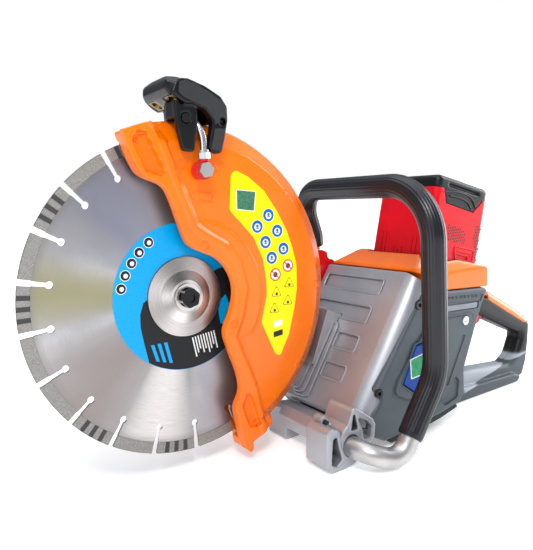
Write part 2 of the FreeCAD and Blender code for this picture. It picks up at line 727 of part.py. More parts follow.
def battery_cap():
    lid = box(0, BATTERY_L, BATTERY_Y0, BATTERY_Y1, CAP_Z, BATTERY_H)
    lid = soften(lid, 7.0, lambda e: abs(e.BoundBox.ZMax - e.BoundBox.ZMin - (BATTERY_H - CAP_Z)) < 0.01)
    lid = soften(lid, 6.0, lambda e: abs(e.BoundBox.ZMin - BATTERY_H) < 0.01)
    grips = []
    for y0, y1 in ((BATTERY_Y0 + 0.4, BATTERY_Y0 + 2.1), (BATTERY_Y1 - 2.1, BATTERY_Y1 - 0.4)):
        below_lid = box(0, BATTERY_L, y0, y1, 0, CAP_Z)
        grips.append(prism(grip_outline(0.2), y0, y1).common(below_lid))
    cap = joined([lid] + grips)
    for y0, y1 in ((BATTERY_Y0 - 1, BATTERY_Y0 + 3), (BATTERY_Y1 - 3, BATTERY_Y1 + 1)):
        cap = cap.cut(prism([(18, 101), (70, 101), (70, 97.5), (18, 97.5)], y0, y1))
    tray = box(14, BATTERY_L - 14, BATTERY_Y0 + 14, BATTERY_Y1 - 14, BATTERY_H - 2.5, BATTERY_H + 1)
    return battery_frame(cap.cut(tray))


def battery_cells():
    cells = []
    r = 10.4
    for i in range(3):
        for j in range(3):
            x, y = 18 + 25 * i, BATTERY_Y0 + 17 + 25 * j
            cells.append(Part.makeCylinder(r, 70, Vector(x, y, 20)))
    return battery_frame(group(cells))


# --- front foot and handlebar ---------------------------------------------------------------
TUBE_X, TUBE_Z = 116.0, -149.5
FOOT_Y0, FOOT_Y1 = -98.0, -65.0
CLAMP = [(104.5, TUBE_Z), (103, -140), (106, -134), (112, -129), (117.5, -117), (121, -114),
         (126, -117), (144.5, -131),
         (147.3, -137), (145, -152), (130, -154), (128.3, TUBE_Z)]
PIN = (102, -129.5)      # locking pin of the clamp's ear
TIP_SWEEP_R = 170.7      # room that the guard's tip needs


def bar_route():
    return [Vector(TUBE_X, -66, TUBE_Z), Vector(TUBE_X, -120, TUBE_Z - 2), Vector(148.5, -128, -164.5),
            Vector(200, -128, -91), Vector(201, -128, 91.5), Vector(201, 79, 91.5), Vector(209, 67, 36),
            Vector(209.5, 67, 1)]


BAR_BENDS = [21.0, 21.0, 55.0, 54.0, 30.0, 40.0]


def handlebar_tube():
    return pipe(bar_route(), BAR_BENDS, TUBE_R).cut(pipe(bar_route(), BAR_BENDS, TUBE_R - 2.0))


def handlebar_grip():
    """Rubber sleeve from low on the left leg to just above the bracket on the right."""
    sleeve = pipe(bar_route(), BAR_BENDS, GRIP_R)
    low_end, along = Vector(162, -128, -145), Vector(51.5, 0, 73.5)
    below = Part.makeBox(200, 200, 200, Vector(-100, -100, -200))
    below.Placement = Placement(low_end, Rotation(Vector(0, 0, 1), along))
    near_low = below.common(box(90, 260, -150, -60, -200, -100))
    sleeve = sleeve.cut(near_low).cut(box(100, 300, 0, 150, -200, 24))
    sleeve = sleeve.cut(pipe(bar_route(), BAR_BENDS, TUBE_R))
    return max(sleeve.Solids, key=lambda solid: solid.Volume)


def handlebar_bracket():
    """Clamp on the body's right face that holds the tube's right end."""
    block = prism([(197, -20), (221, -20), (236, -8), (235, 1), (229, 6), (222, 8), (221, 16),
                   (214, 19), (198, 19)],
                  RIGHT_Y, 79, 4.0)
    hollow = prism([(223, -12), (231, -7), (230, 0), (223, 2)], 62, 80, 2.0)
    screw_hole = disc(2.6, RIGHT_Y - 1, 80, 203.5, -13)
    seat = disc(4.6, 70, 80, 203.5, -13)
    block = block.cut(pipe(bar_route(), BAR_BENDS, TUBE_R)).cut(hollow)
    return block.cut(screw_hole).cut(seat)


def front_foot():
    """Cast front foot: a bar across the saw between a clamp block and a right-hand foot."""
    block = prism([(87, -131), (93, -128), (101, -131), (104, -140), (104, TUBE_Z), (128, TUBE_Z),
                   (128, -160),
                   (120, -169), (110, GROUND_Z), (91, GROUND_Z), (85, -164)], FOOT_Y0, FOOT_Y1, 3.0)
    cavity = prism([(94, -138), (99, -137), (101, -150), (104, -161), (97, -166), (91, -163)],
                   FOOT_Y0 - 1, FOOT_Y0 + 24, 2.0)
    far = prism([(104, -150), (108, -134), (124, -144), (130, -160), (122, GROUND_Z), (102, GROUND_Z)],
                -6, 26, 3.0)
    bar = prism([(100, -143), (107, -133), (122, -142), (124, -158), (104, -158)], FOOT_Y1 - 5, 2, 2.0)
    shelf = prism([(104, -137), (134, -141), (160, -160), (160, -168), (124, -168), (112, -150)], -62,
                  26, 2.0)
    foot = joined([block.cut(cavity), far, bar, shelf])
    foot = foot.cut(prism(CLAMP, FOOT_Y0 - 1, FOOT_Y1 + 2.3)).cut(bar_room()).cut(clamp_ear(0.1))
    arch = prism([(80, -180), (122, -180), (120, -164), (96, -164)], -56, -12, 3.0)
    sweep = disc(TIP_SWEEP_R, GUARD_NEAR_Y - 14, GUARD_FAR_Y + 20)
    pin_room = disc(2.8, FOOT_Y0 - 1, -75.8, *PIN).fuse(disc(1.7, -76, FOOT_Y1 + 3, *PIN))
    return foot.cut(arch).cut(sweep).cut(body_room()).cut(pin_room)


def bar_room():
    return disc(TUBE_R, FOOT_Y0 - 1, FOOT_Y1 + 5, TUBE_X, TUBE_Z).fuse(pipe(bar_route(), BAR_BENDS, TUBE_R))


def body_room():
    """Space taken by the body and its front cover."""
    cover = prism([slope(-3, -CLEAR), slope(COVER_H, -CLEAR), (300, 0), (300, -164), (141, -143)],
                  LEFT_Y - 0.2, RIGHT_Y)
    return cover.fuse(prism(BODY_OUTLINE, LEFT_Y - 0.2, RIGHT_Y))


def clamp_ear(grow):
    """Small ear of the clamp's cap that takes its locking pin."""
    points = [(97, -133.5), (98, -125), (103, -123), (108, -130), (107, -136), (103, -137)]
    return prism([(x, z - grow if z < -130 else z) for x, z in points], -76 - grow, FOOT_Y1 + 2 + grow, 1.5)


def tube_clamp():
    """Upper half of the clamp round the handlebar tube."""
    cap = prism(CLAMP, FOOT_Y0, FOOT_Y1 + 2, [0, 3, 3, 6, 2, 2, 2, 3, 3, 3, 2, 0])
    pocket = prism([(130, -137), (124, -124), (137, -131), (142.5, -138), (140.5, -149), (132, -149)],
                   FOOT_Y0 - 1, FOOT_Y0 + 10, 1.5)
    window = prism([(116, -136), (119.5, -121), (122, -121), (125, -136)], FOOT_Y0 - 1, FOOT_Y0 + 8, 1.0)
    cap = cap.cut(pocket).cut(window).fuse(clamp_ear(0.0).cut(disc(1.6, -90, -50, *PIN)))
    cap = cap.cut(bar_room()).cut(body_room())
    return max(cap.Solids, key=lambda solid: solid.Volume).removeSplitter()


def frame_screws():
    """Screws of the tube clamp, the front foot and the handlebar bracket."""
    pin = disc(2.4, -79.0, -76.0, *PIN).fuse(disc(1.55, -76.0, -66.0, *PIN))
    bracket = bolt(203.5, 0, 0, 20, 4.4, 2.5, 3.4)
    bracket.rotate(Vector(203.5, 0, 0), Vector(0, 0, 1), 180)
    bracket.translate(Vector(0, 74.0, -13))
    return group([pin, bracket])


# --- rear handle ----------------------------------------------------------------------------
HANDLE = [(326, -22), (352, -22), (394.4, -46.3), (443.8, -73.5), (471, -90.5), (478, -101),
          (475.8, -124.5),
          (471, -151), (462, -170.5), (440, GROUND_Z), (300, GROUND_Z), (278, -148), (288, -130)]
HANDLE_CORNERS = [0, 4, 12, 20, 6, 8, 20, 12, 8, 4, 4, 4, 0]
LOOP = [(340, -58), (386, -79.5), (438, -103.5), (457, -111.5), (457, -118), (446.5, -138),
        (432, -146.5), (335, -137)]
LOOP_CORNERS = [6, 4, 8, 6, 4, 10, 10, 6]
TRIGGER_X, TRIGGER_Z = 356.0, -58.0


def handle_solid():
    """The whole grip: a rounded bar bent round the finger loop, on a wider foot."""
    outer = prism(HANDLE, HANDLE_Y0, HANDLE_Y1, HANDLE_CORNERS)
    outer = outer.cut(prism(LOOP, HANDLE_Y0 - 1, HANDLE_Y1 + 1, LOOP_CORNERS))
    for y in (HANDLE_Y0, HANDLE_Y1):
        outer = soften(outer, 8.0, at_y(y))
    foot = prism([(300, GROUND_Z), (288, -158), (312, -155), (432, -159), (446, -164), (438, GROUND_Z)],
                 HANDLE_Y0 - HANDLE_FOOT, HANDLE_Y1 + HANDLE_FOOT, [3, 3, 4, 4, 3, 4])
    for y in (HANDLE_Y0 - HANDLE_FOOT, HANDLE_Y1 + HANDLE_FOOT):
        foot = soften(foot, 2.5, at_y(y))
    outer = joined([outer, foot])
    return outer.cut(prism(BODY_OUTLINE, LEFT_Y - 1, RIGHT_Y + 1, 4.0)).cut(box(300, 336, -100, 60, -28, 0))


STRIP = [(389, -20), (485, -70), (485, -97), (463, -97.5), (389, -56)]
KEY = [(377, -20), (388.6, -20), (388.6, -51.5), (377, -47)]


def handle_half(y0, y1):
    half = handle_solid().common(box(250, 490, y0, y1, -180, 0))
    half = half.cut(prism(STRIP, HANDLE_Y0 - 1, HANDLE_Y1 + 1))
    well = [(376.7, -20), (389, -20), (389, -55.5), (376.7, -51)]
    trigger_slot = [(348, -68), (350, -50), (362, -51.5), (388, -64), (388, -92), (347, -78)]
    cavity = [(387, -62), (446, -92), (467, -106), (458, -142), (461, -112), (440, -98), (411, -86),
              (390, -77)]
    lower = [(300, -141), (398, -149), (432, -154), (428, -163), (318, -163), (292, -152)]
    half = half.cut(prism(well, HANDLE_Y0 - 1, HANDLE_Y1 + 1)).cut(prism(trigger_slot, -43.4, -28.6))
    half = half.cut(prism(cavity, -43.4, -28.6, 1.0)).cut(prism(lower, -45, -27, 3.0))
    half = half.cut(disc(2.0, -46, -26, TRIGGER_X, TRIGGER_Z))
    return max(half.Solids, key=lambda solid: solid.Volume)


def handle_left():
    return handle_half(HANDLE_Y0 - HANDLE_FOOT, SPLIT_Y)


def handle_right():
    return handle_half(SPLIT_Y, HANDLE_Y1 + HANDLE_FOOT)


def handle_top_strip():
    return handle_solid().common(prism(STRIP, HANDLE_Y0 - 1, HANDLE_Y1 + 1))


def trigger():
    outline = [(351, -62), (352, -54), (360, -53.5), (374, -61), (385, -69), (384.5, -77), (378, -84),
               (370, -86),
               (360, -76)]
    body = prism(outline, -43.0, -29.0, 3.0)
    body = soften(body, 1.5, lambda e: at_y(-43.0)(e) or at_y(-29.0)(e))
    return body.cut(disc(2.0 + RUN, -60, -10, TRIGGER_X, TRIGGER_Z))


def trigger_pin():
    return disc(2.0, -46.0, -26.0, TRIGGER_X, TRIGGER_Z)


def trigger_switch():
    return box(390.5, 401, -42, -30, -75.6, -70.6)


def lock_button():
    """Lock-off key across the handle's top, pressed down by the palm."""
    return handle_solid().common(prism(KEY, HANDLE_Y0 + 0.6, HANDLE_Y1 - 0.6))


def rubber_pads():
    """Runners under both sides of the body."""
    outline = [(172, -162.8), (215, -160.3), (252, -155.3), (276, -151), (279, -155), (252, -161),
               (215, -166), (176, -168)]
    return group([prism(outline, y, y + 26, 1.0) for y in (LEFT_Y + 3, RIGHT_Y - 29)])


# --- guard ----------------------------------------------------------------------------------
FRONT_EDGE = [(-54, 140), (-43, 117), (-38, 112), (-23, 105), (-18, 96), (-8, 60), (-3, 49), (11, 42),
              (28, 34), (39, 18), (42, 0), (35, -20), (27, -33), (28, -45), (44, -92), (33, -111),
              (36, -122), (43, -156)]
BEHIND = [(52, -158), (60, -200), (230, -200), (230, 200), (-40, 200), (-58, 149)]


def guard_outline():
    return FRONT_EDGE + BEHIND


TIP = [(36, -122), (41.5, -157), (49, -162.5), (52.5, -158), (50.5, -151), (66, -146), (74, -138),
       (74.5, -129), (60, -110)]
HEAD = [(-54, 140), (-40, 113), (-22, 110), (-10, 116), (-26, 157), (-35, 158.5), (-57, 149)]
BLADE_ROOM_R = 151.8


def near_profile():
    y, s, t = GUARD_NEAR_Y, GUARD_SEAM_Y, GUARD_T
    r = GUARD_R
    return [(0, y), (142, y), (r - 1, -7), (r, s), (r - 4, s), (r - 4.4, -6), (140.5, y + t), (0, y + t)]


def far_profile():
    y, s, t = GUARD_FAR_Y, GUARD_SEAM_Y, GUARD_T
    r = GUARD_R
    return [(36, y), (150, y), (r, 6), (r, s), (r - 4, s), (r - 4, 5), (148.5, y - t), (36, y - t)]


def blade_room(y0):
    return disc(BLADE_ROOM_R, y0, GUARD_SEAM_Y + 6)


def near_lugs():
    """Full-depth corner block at the front end of the left half."""
    outer = prism(HEAD, GUARD_NEAR_Y, GUARD_SEAM_Y, 4.0)
    inner = prism([(-50, 138), (-40, 117), (-26, 113), (-17, 116), (-30, 150), (-36, 153), (-51, 145)],
                  GUARD_NEAR_Y + 4, 0)
    return outer.cut(inner).cut(blade_room(GUARD_NEAR_Y + 4))


def near_tip():
    outer = prism(TIP, GUARD_NEAR_Y, GUARD_SEAM_Y, 3.0)
    inner = prism([(38, -112), (44, -140), (52, -148), (68, -140), (68, -122), (58, -108)],
                  GUARD_NEAR_Y + 3, 0, 2.0)
    return outer.cut(inner).cut(blade_room(GUARD_NEAR_Y + 3))


RIDGE = [(-33, 156), (-23, 153), (-9, 118), (6, 62), (16, 55), (34, 43), (50, 24), (54, 0), (46, -22),
         (39, -36),
         (62, -112), (62, -132), (55, -136), (46, -96), (28, -42), (27, -33), (35, -20), (42, 0),
         (39, 18), (28, 34),
         (11, 42), (-3, 49), (-8, 60), (-18, 96), (-20, 112)]
UPPER_POCKET = [(-41, 152), (-34, 151), (-18, 119), (-22, 112), (-35, 119), (-46, 142)]
LOWER_POCKET = [(50, -102), (59, -130), (48, -137), (42, -113)]


def guard_near_shell():
    shell = turned(near_profile()).common(prism(guard_outline(), -60, 60, 2.0))
    shell = joined([shell, near_lugs(), near_tip()])
    ridge = prism(RIDGE, GUARD_NEAR_Y - 2.0, GUARD_NEAR_Y + 1.0, 3.0)
    shell = shell.fuse(ridge.common(disc(GUARD_R - 1, -60, 60))).removeSplitter()
    shell = shell.cut(prism(UPPER_POCKET, GUARD_NEAR_Y - 5, GUARD_NEAR_Y + 1.6, 4.0))
    shell = shell.cut(prism(LOWER_POCKET, GUARD_NEAR_Y - 5, GUARD_NEAR_Y + 1.2, 4.0))
    for x, z in ((65, -139), (56, -146)):
        shell = shell.cut(disc(2.2, GUARD_NEAR_Y - 5, GUARD_NEAR_Y + 3, x, z))
    bosses = [disc(3.4, GUARD_SEAM_Y - 5.5, GUARD_SEAM_Y, x, z) for x, z in guard_screw_places()]
    shell = joined([shell] + bosses)
    return shell.cut(group([disc(1.6, GUARD_SEAM_Y - 4.5, 0, x, z) for x, z in guard_screw_places()]))


def guard_far_shell():
    shell = turned(far_profile()).common(prism(far_outline(), -60, 60, 2.0))
    end = prism([(-47, 151), (-43, 140), (-38, 142), (-41, 150), (-26, 156), (-29, 159)], GUARD_SEAM_Y,
                GUARD_FAR_Y - 3)
    tip = prism([(44, -140), (47, -158), (52, -160), (58, -149), (50, -140)], GUARD_SEAM_Y,
                GUARD_FAR_Y - 9, 1.5)
    tip = tip.cut(disc(BLADE_ROOM_R, -20, 20))
    shell = joined([shell, end.cut(disc(BLADE_ROOM_R, -20, 6)), tip])
    places = guard_screw_places()
    shell = joined([shell] + [disc(3.4, GUARD_SEAM_Y, 8.6, x, z) for x, z in places])
    shell = shell.cut(group([disc(1.6, GUARD_SEAM_Y - 1, 9, x, z) for x, z in places]))
    return shell.cut(group([disc(3.1, 7.0, GUARD_FAR_Y + 1, x, z) for x, z in places]))


def far_outline():
    inner = [(-43, 140), (-40, 118), (-30, 106), (-24, 60), (-50, 20), (-50, -20), (-24, -60),
             (24, -92), (40, -126),
             (48, -152)]
    return inner + [(52, -158), (60, -200), (230, -200), (230, 200), (-30, 200), (-47, 151)]


def guard_screw_places():
    return [polar(157.8, a) for a in (97, 62, 36, 4, -30, -55)]


def guard_screws():
    """Screws that close the two halves, put in from the right."""
    screws = []
    for x, z in guard_screw_places():
        head = disc(2.9, 7.0, 9.4, x, z).cut(hexagon(1.4, 8.2, 10, x, z))
        screws.append(head.fuse(disc(1.55, GUARD_SEAM_Y - 4, 7.0, x, z)))
    return group(screws)


def guard_ring():
    """Split ring that turns on the arm's front hub."""
    body = joined([ring(36.0, 30.0 + RUN, 10.5, 16.4), ring(46.0, 30.0 + RUN, 10.0, 13.0)])
    return body.cut(box(-50, -28, 9, 13.1, -1, 1))


# --- guard handle, lamps and water line -----------------------------------------------------
HOOD = [(1, 172.5), (-13, 180.5), (-16.5, 186), (-15, 193), (-9.5, 198), (-3, 199.8), (6, 198), (21, 191.5),
        (35, 182.5), (41, 172.5), (40.5, 158), (33, 158), (28, 166.5), (20, 170.5), (8, 174)]
SIDE = [(-13, 181), (-8, 190), (-4, 194), (4, 194), (20.5, 188), (35.5, 179.5), (41.3, 170.5),
        (40.7, 158), (36.5, 142),
        (32, 129), (18.5, 132), (24, 150), (25.5, 160), (18.5, 168.5), (-3, 177), (-9, 179.5)]
PILLAR = [(-9, 177), (-8, 153), (-4, 133), (7, 131.5), (11, 154), (13, 177)]
HOOD_Y0, HOOD_Y1 = -34.0, 29.0
HOOD_MIDDLE_Y = -2.0
CROWN_RADIUS = 58.0      # how strongly the hood's top is domed from side to side


def dome(x, z, tilt):
    """Everything under an arched roof that passes through (x, z) and descends to the rear by tilt."""
    half, low = 36.0, -60.0
    drop = CROWN_RADIUS - math.sqrt(CROWN_RADIUS ** 2 - half ** 2)
    ends = [Vector(0, -half, -drop), Vector(0, half, -drop)]
    arc = Part.Arc(ends[0], Vector(0, 0, 0), ends[1]).toShape()
    corners = [ends[1], Vector(0, half, low), Vector(0, -half, low), ends[0]]
    edges = [arc] + [Part.LineSegment(a, b).toShape() for a, b in zip(corners, corners[1:])]
    body = Part.Face(Part.Wire(Part.__sortEdges__(edges))).extrude(Vector(160, 0, 0))
    body.translate(Vector(-80, 0, 0))
    body.rotate(Vector(0, 0, 0), Vector(0, 1, 0), tilt)
    body.translate(Vector(x, HOOD_MIDDLE_Y, z))
    return body


def guard_handle():
    """Domed hood over the guard's rim on a near pillar, a near rear leg and a saddle."""
    hood = prism(HOOD, HOOD_Y0, HOOD_Y1, [3, 3, 6, 6, 8, 8, 10, 12, 10, 10, 2, 2, 5, 5, 3])
    plan = [(-26, -22), (-26, 10), (-15, 22), (-4, HOOD_Y1), (60, HOOD_Y1), (60, HOOD_Y0),
            (-6, HOOD_Y0), (-16, -29)]
    hood = hood.common(slab(plan, 120, 220, 8.0)).common(dome(-3, 199.8, 0)).common(dome(6, 198, 29))
    near = prism(SIDE, HOOD_Y0, GUARD_NEAR_Y - 2.4, 4.0)
    pillar = prism(PILLAR, -31.0, GUARD_NEAR_Y - 2.4, 3.0)
    saddle = slab([(-8, -30), (-8, -10), (-5, 0), (4, 22), (12, 27), (38, 27), (38, 10), (16, -10),
                   (14, -30)],
                  150, 178, 3.0)
    saddle = saddle.cut(disc(GUARD_R + 0.1, GUARD_NEAR_Y - 2.4, GUARD_FAR_Y))
    far = prism([(8, 180), (8, 136), (34, 134), (42, 158), (43, 172), (30, 184)], GUARD_FAR_Y, 27.0, 3.0)
    handle = joined([hood, near, pillar, saddle, far])
    handle = handle.cut(disc(3.3, HOOD_Y0 - 1, HOOD_Y0 + 5, 35.5, 157.5))
    handle = handle.cut(disc(4.6, -32, -26.6, BUTTON_X, BUTTON_Z)).cut(disc(2.2, -28, -24.9, BUTTON_X,
                                                                            BUTTON_Z))
    for y in LAMP_YS:
        handle = handle.cut(lamp_frame(box(-6.4, 6.4, y - 9.4, y + 9.4, -8, 1)))
    banjo_room = Part.makeCylinder(6.4, 15.4, Vector(BANJO_X + 0.8, GUARD_NEAR_Y - 7.45, BANJO_Z + 4))
    handle = handle.cut(pipe(pipe_route(), PIPE_BENDS, PIPE_R + 0.4)).cut(banjo_room)
    return max(handle.Solids, key=lambda solid: solid.Volume)


def grip_inserts():
    side = [(-5, 190.5), (1, 192.5), (11, 189.2), (24, 182.8), (35.5, 175), (39, 168), (39, 160),
            (38, 153.5),
            (36, 153.5), (31, 153.5), (30.5, 157), (26.5, 153.5), (27, 159), (19.5, 169.5),
            (-2.5, 178.3), (-6.3, 182)]
    leg = [(26.5, 151.5), (37.4, 151.5), (35.3, 143), (31, 131), (21, 133.5), (25, 145)]
    hole = disc(3.9, HOOD_Y0 - 2, HOOD_Y0 + 1, 35.5, 157.5)
    plates = [prism(side, HOOD_Y0 - 0.6, HOOD_Y0, 1.5).cut(hole), prism(leg, HOOD_Y0 - 0.6, HOOD_Y0, 2.0)]
    return group(plates)


LAMP_YS = (-22.0, 14.0)
BUTTON_X, BUTTON_Z = 1.0, 161.0


def lamp_frame(shape):
    """Place a shape on the nose's sloping underside: local -Z faces out of the handle."""
    shape = shape.copy()
    shape.rotate(Vector(0, 0, 0), Vector(0, 1, 0), 180 + 31)
    shape.translate(Vector(-5.8, 0, 176.4))
    return shape


def lamp_reflectors():
    trays = []
    for y in LAMP_YS:
        tray = box(-6.2, 6.2, y - 9.2, y + 9.2, -7.6, -0.6)
        cup = Part.makeCone(2.6, 5.4, 5.4, Vector(0, y, -5.6), Vector(0, 0, 1))
        trays.append(lamp_frame(tray.cut(cup)))
    return group(trays)


def lamp_leds():
    return group([lamp_frame(box(-1.6, 1.6, y - 1.6, y + 1.6, -5.6, -4.6)) for y in LAMP_YS])


def lamp_button():
    cap = soften(disc(4.3, -31.6, -27.8, BUTTON_X, BUTTON_Z), 0.6, at_y(-31.6))
    return cap.fuse(disc(1.9, -27.8, -26.2, BUTTON_X, BUTTON_Z)).removeSplitter()


BANJO_X, BANJO_Z = 15.5, 115.5
PIPE_R = 3.6
PIPE_BENDS = [25.0, 28.0]


def water_banjo():
    """Swivelling water inlet: the eye, its neck, a clamping nut and two collars."""
    y = GUARD_NEAR_Y - 2.05
    x, out = BANJO_X + 0.8, y - 5.4
    up = Vector(0, 0, 1)
    eye = disc(8.2, y - 9.5, y, BANJO_X - 2, BANJO_Z)
    neck = Part.makeCylinder(4.0, 12.0, Vector(x, out, BANJO_Z + 4), up)
    collars = [Part.makeCylinder(5.0, 2.4, Vector(x, out, BANJO_Z + z), up) for z in (7.6, 15.4)]
    points = [Vector(x + 6.0 * math.cos(a), out + 6.0 * math.sin(a), BANJO_Z + 10)
              for a in (math.radians(60 * k + 20) for k in range(6))]
    nut = face_of(points).extrude(Vector(0, 0, 5.4))
    body = joined([eye, neck, nut] + collars)
    body = body.cut(disc(3.2, y - 10, y + 1, BANJO_X - 2, BANJO_Z))
    return body.cut(pipe(pipe_route(), PIPE_BENDS, PIPE_R + 0.02))


def banjo_bolt():
    y = GUARD_NEAR_Y - 11.55
    head = hexagon(6.2, y - 5.5, y, BANJO_X - 2, BANJO_Z, 10)
    shank = disc(3.15, y, GUARD_NEAR_Y - 2.05, BANJO_X - 2, BANJO_Z)
    return head.fuse(shank)


def pipe_route():
    x, y = BANJO_X + 0.8, GUARD_NEAR_Y - 7.45
    return [Vector(x, y, BANJO_Z + 11), Vector(x + 0.5, y, 148), Vector(x - 6, y + 8, 163),
            Vector(x - 7, y + 9, 172)]


def water_pipe():
    return pipe(pipe_route(), PIPE_BENDS, PIPE_R)


NODES = {
    "blade_core": blade_core, "blade_segments": blade_segments, "blade_label": blade_label,
    "outer_flange": outer_flange, "inner_flange": inner_flange, "blade_bolt": blade_bolt,
    "spindle": spindle, "spindle_pulley": spindle_pulley,
    "rotor_core": rotor_core, "rotor_magnets": rotor_magnets, "motor_shaft": motor_shaft,
    "drive_pulley": drive_pulley, "cooling_fan": cooling_fan,
    "cutting_arm": cutting_arm, "belt_cover": belt_cover, "casing_screws": casing_screws,
    "drive_belt": drive_belt, "ball_bearings": ball_bearings, "motor_stator": motor_stator,
    "motor_case": motor_case, "front_cover": front_cover,
    "left_housing": left_housing, "right_housing": right_housing, "side_hatch": side_hatch,
    "badge": badge, "top_cover": top_cover, "battery_dock": battery_dock,
    "dock_terminals": dock_terminals, "controller": controller,
    "front_foot": front_foot, "tube_clamp": tube_clamp, "frame_screws": frame_screws,
    "handlebar_tube": handlebar_tube, "handlebar_grip": handlebar_grip,
    "handlebar_bracket": handlebar_bracket,
    "handle_left": handle_left, "handle_right": handle_right, "handle_top_strip": handle_top_strip,
    "trigger_pin": trigger_pin, "trigger_switch": trigger_switch,
    "rubber_pads": rubber_pads,
    "guard_near_shell": guard_near_shell, "guard_far_shell": guard_far_shell,
    "guard_screws": guard_screws, "guard_ring": guard_ring, "guard_handle": guard_handle,
    "grip_inserts": grip_inserts, "lamp_reflectors": lamp_reflectors, "lamp_leds": lamp_leds,
    "water_pipe": water_pipe, "water_banjo": water_banjo, "banjo_bolt": banjo_bolt,
    "lamp_button": lamp_button, "trigger": trigger, "lock_button": lock_button,
    "battery_case": battery_case, "battery_cap": battery_cap, "battery_cells": battery_cells,
    "battery_latch": battery_latch, "panel_lock": panel_lock,
}


def main():
    os.makedirs("parts", exist_ok=True)
    shapes = {name: make() for name, make in NODES.items()}
    whole = Part.makeCompound(list(shapes.values())).optimalBoundingBox()
    shift = Vector(-(whole.XMin + whole.XMax) / 2, -(whole.YMin + whole.YMax) / 2, -whole.ZMin)
    print("spindle axis at", round(shift.x, 3), round(shift.y, 3), round(shift.z, 3))
    for name, shape in shapes.items():
        moved = shape.copy()
        moved.translate(shift)
        moved.exportStep(f"parts/{name}.step")


main()
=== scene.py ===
import json
import math

import bpy
import numpy as np
from mathutils import Matrix, Vector
from mathutils.geometry import delaunay_2d_cdt


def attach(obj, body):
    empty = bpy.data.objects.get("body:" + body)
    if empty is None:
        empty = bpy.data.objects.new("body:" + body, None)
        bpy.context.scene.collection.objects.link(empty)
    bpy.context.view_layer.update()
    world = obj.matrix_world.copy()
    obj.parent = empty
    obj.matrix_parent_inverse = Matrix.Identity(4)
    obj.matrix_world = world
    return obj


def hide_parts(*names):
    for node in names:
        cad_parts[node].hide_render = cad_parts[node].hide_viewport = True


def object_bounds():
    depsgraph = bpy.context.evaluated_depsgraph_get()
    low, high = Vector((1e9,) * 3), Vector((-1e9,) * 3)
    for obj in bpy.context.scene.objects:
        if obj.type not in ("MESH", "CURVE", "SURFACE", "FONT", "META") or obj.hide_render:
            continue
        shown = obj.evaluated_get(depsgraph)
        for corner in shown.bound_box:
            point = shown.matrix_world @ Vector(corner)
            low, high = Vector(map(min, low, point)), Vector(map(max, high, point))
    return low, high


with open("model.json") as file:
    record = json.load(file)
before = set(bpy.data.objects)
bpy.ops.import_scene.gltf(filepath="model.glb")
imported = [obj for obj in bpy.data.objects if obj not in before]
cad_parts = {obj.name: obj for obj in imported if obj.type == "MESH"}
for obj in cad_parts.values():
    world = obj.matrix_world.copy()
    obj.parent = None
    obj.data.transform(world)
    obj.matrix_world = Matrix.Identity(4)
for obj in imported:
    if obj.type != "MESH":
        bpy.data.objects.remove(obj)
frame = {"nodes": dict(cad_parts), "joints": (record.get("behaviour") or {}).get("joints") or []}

CAD_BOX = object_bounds()
NODES = frame["nodes"]
MM = 0.001
# Where the spindle axis meets the blade.
HUB = Vector(next(joint for joint in frame["joints"] if joint["name"] == "blade_spin")["pos_m"])


def at(x, y, z):
    """A point given in millimetres from the blade's centre: X to the rear, Y to the right, Z up."""
    return HUB + Vector((x, y, z)) * MM


# ---------------------------------------------------------------- camera, light and floor

CAMERA_PLACE = (-240.56, -513.41, 95.36)
CAMERA_RIGHT = (0.8375, -0.5465, 0.0)
CAMERA_UP = (0.0768, 0.1177, 0.9902)
CAMERA_ROLL = -3.373        # degrees
CAMERA_LENS = 39.37


def make_camera():
    """Level axes of the camera, then a small roll about the line of sight."""
    right, up = Vector(CAMERA_RIGHT), Vector(CAMERA_UP)
    roll = math.radians(CAMERA_ROLL)
    side = right * math.cos(roll) + up * math.sin(roll)
    top = up * math.cos(roll) - right * math.sin(roll)
    back = side.cross(top).normalized()
    camera = bpy.data.objects.new("camera", bpy.data.cameras.new("camera"))
    camera.data.lens = CAMERA_LENS
    camera.data.clip_start = 0.01
    turn = Matrix((side, top, back)).transposed().to_4x4()
    camera.matrix_world = Matrix.Translation(at(*CAMERA_PLACE)) @ turn
    bpy.context.scene.collection.objects.link(camera)
    bpy.context.scene.camera = camera


LIGHT_TARGET = (90, 0, 0)
SOFTBOXES = (   # name, place in blade millimetres, size in metres, power in watts
    ("key", (-500, -900, 1100), (0.45, 0.45), 13),
    ("top", (200, 100, 1300), (1.2, 1.2), 8),
    ("right_edge", (1200, -250, 300), (0.5, 1.2), 12),
    ("low_front", (-900, -500, 100), (0.6, 0.9), 2),
)


def softbox(name, place, size, power):
    """A rectangular area light that faces the saw."""
    light = bpy.data.lights.new(name, "AREA")
    light.shape = "RECTANGLE"
    light.size, light.size_y = size
    light.energy = power
    lamp = bpy.data.objects.new(name, light)
    lamp.location = at(*place)
    lamp.rotation_euler = (at(*LIGHT_TARGET) - lamp.location).to_track_quat("-Z", "Y").to_euler()
    bpy.context.scene.collection.objects.link(lamp)


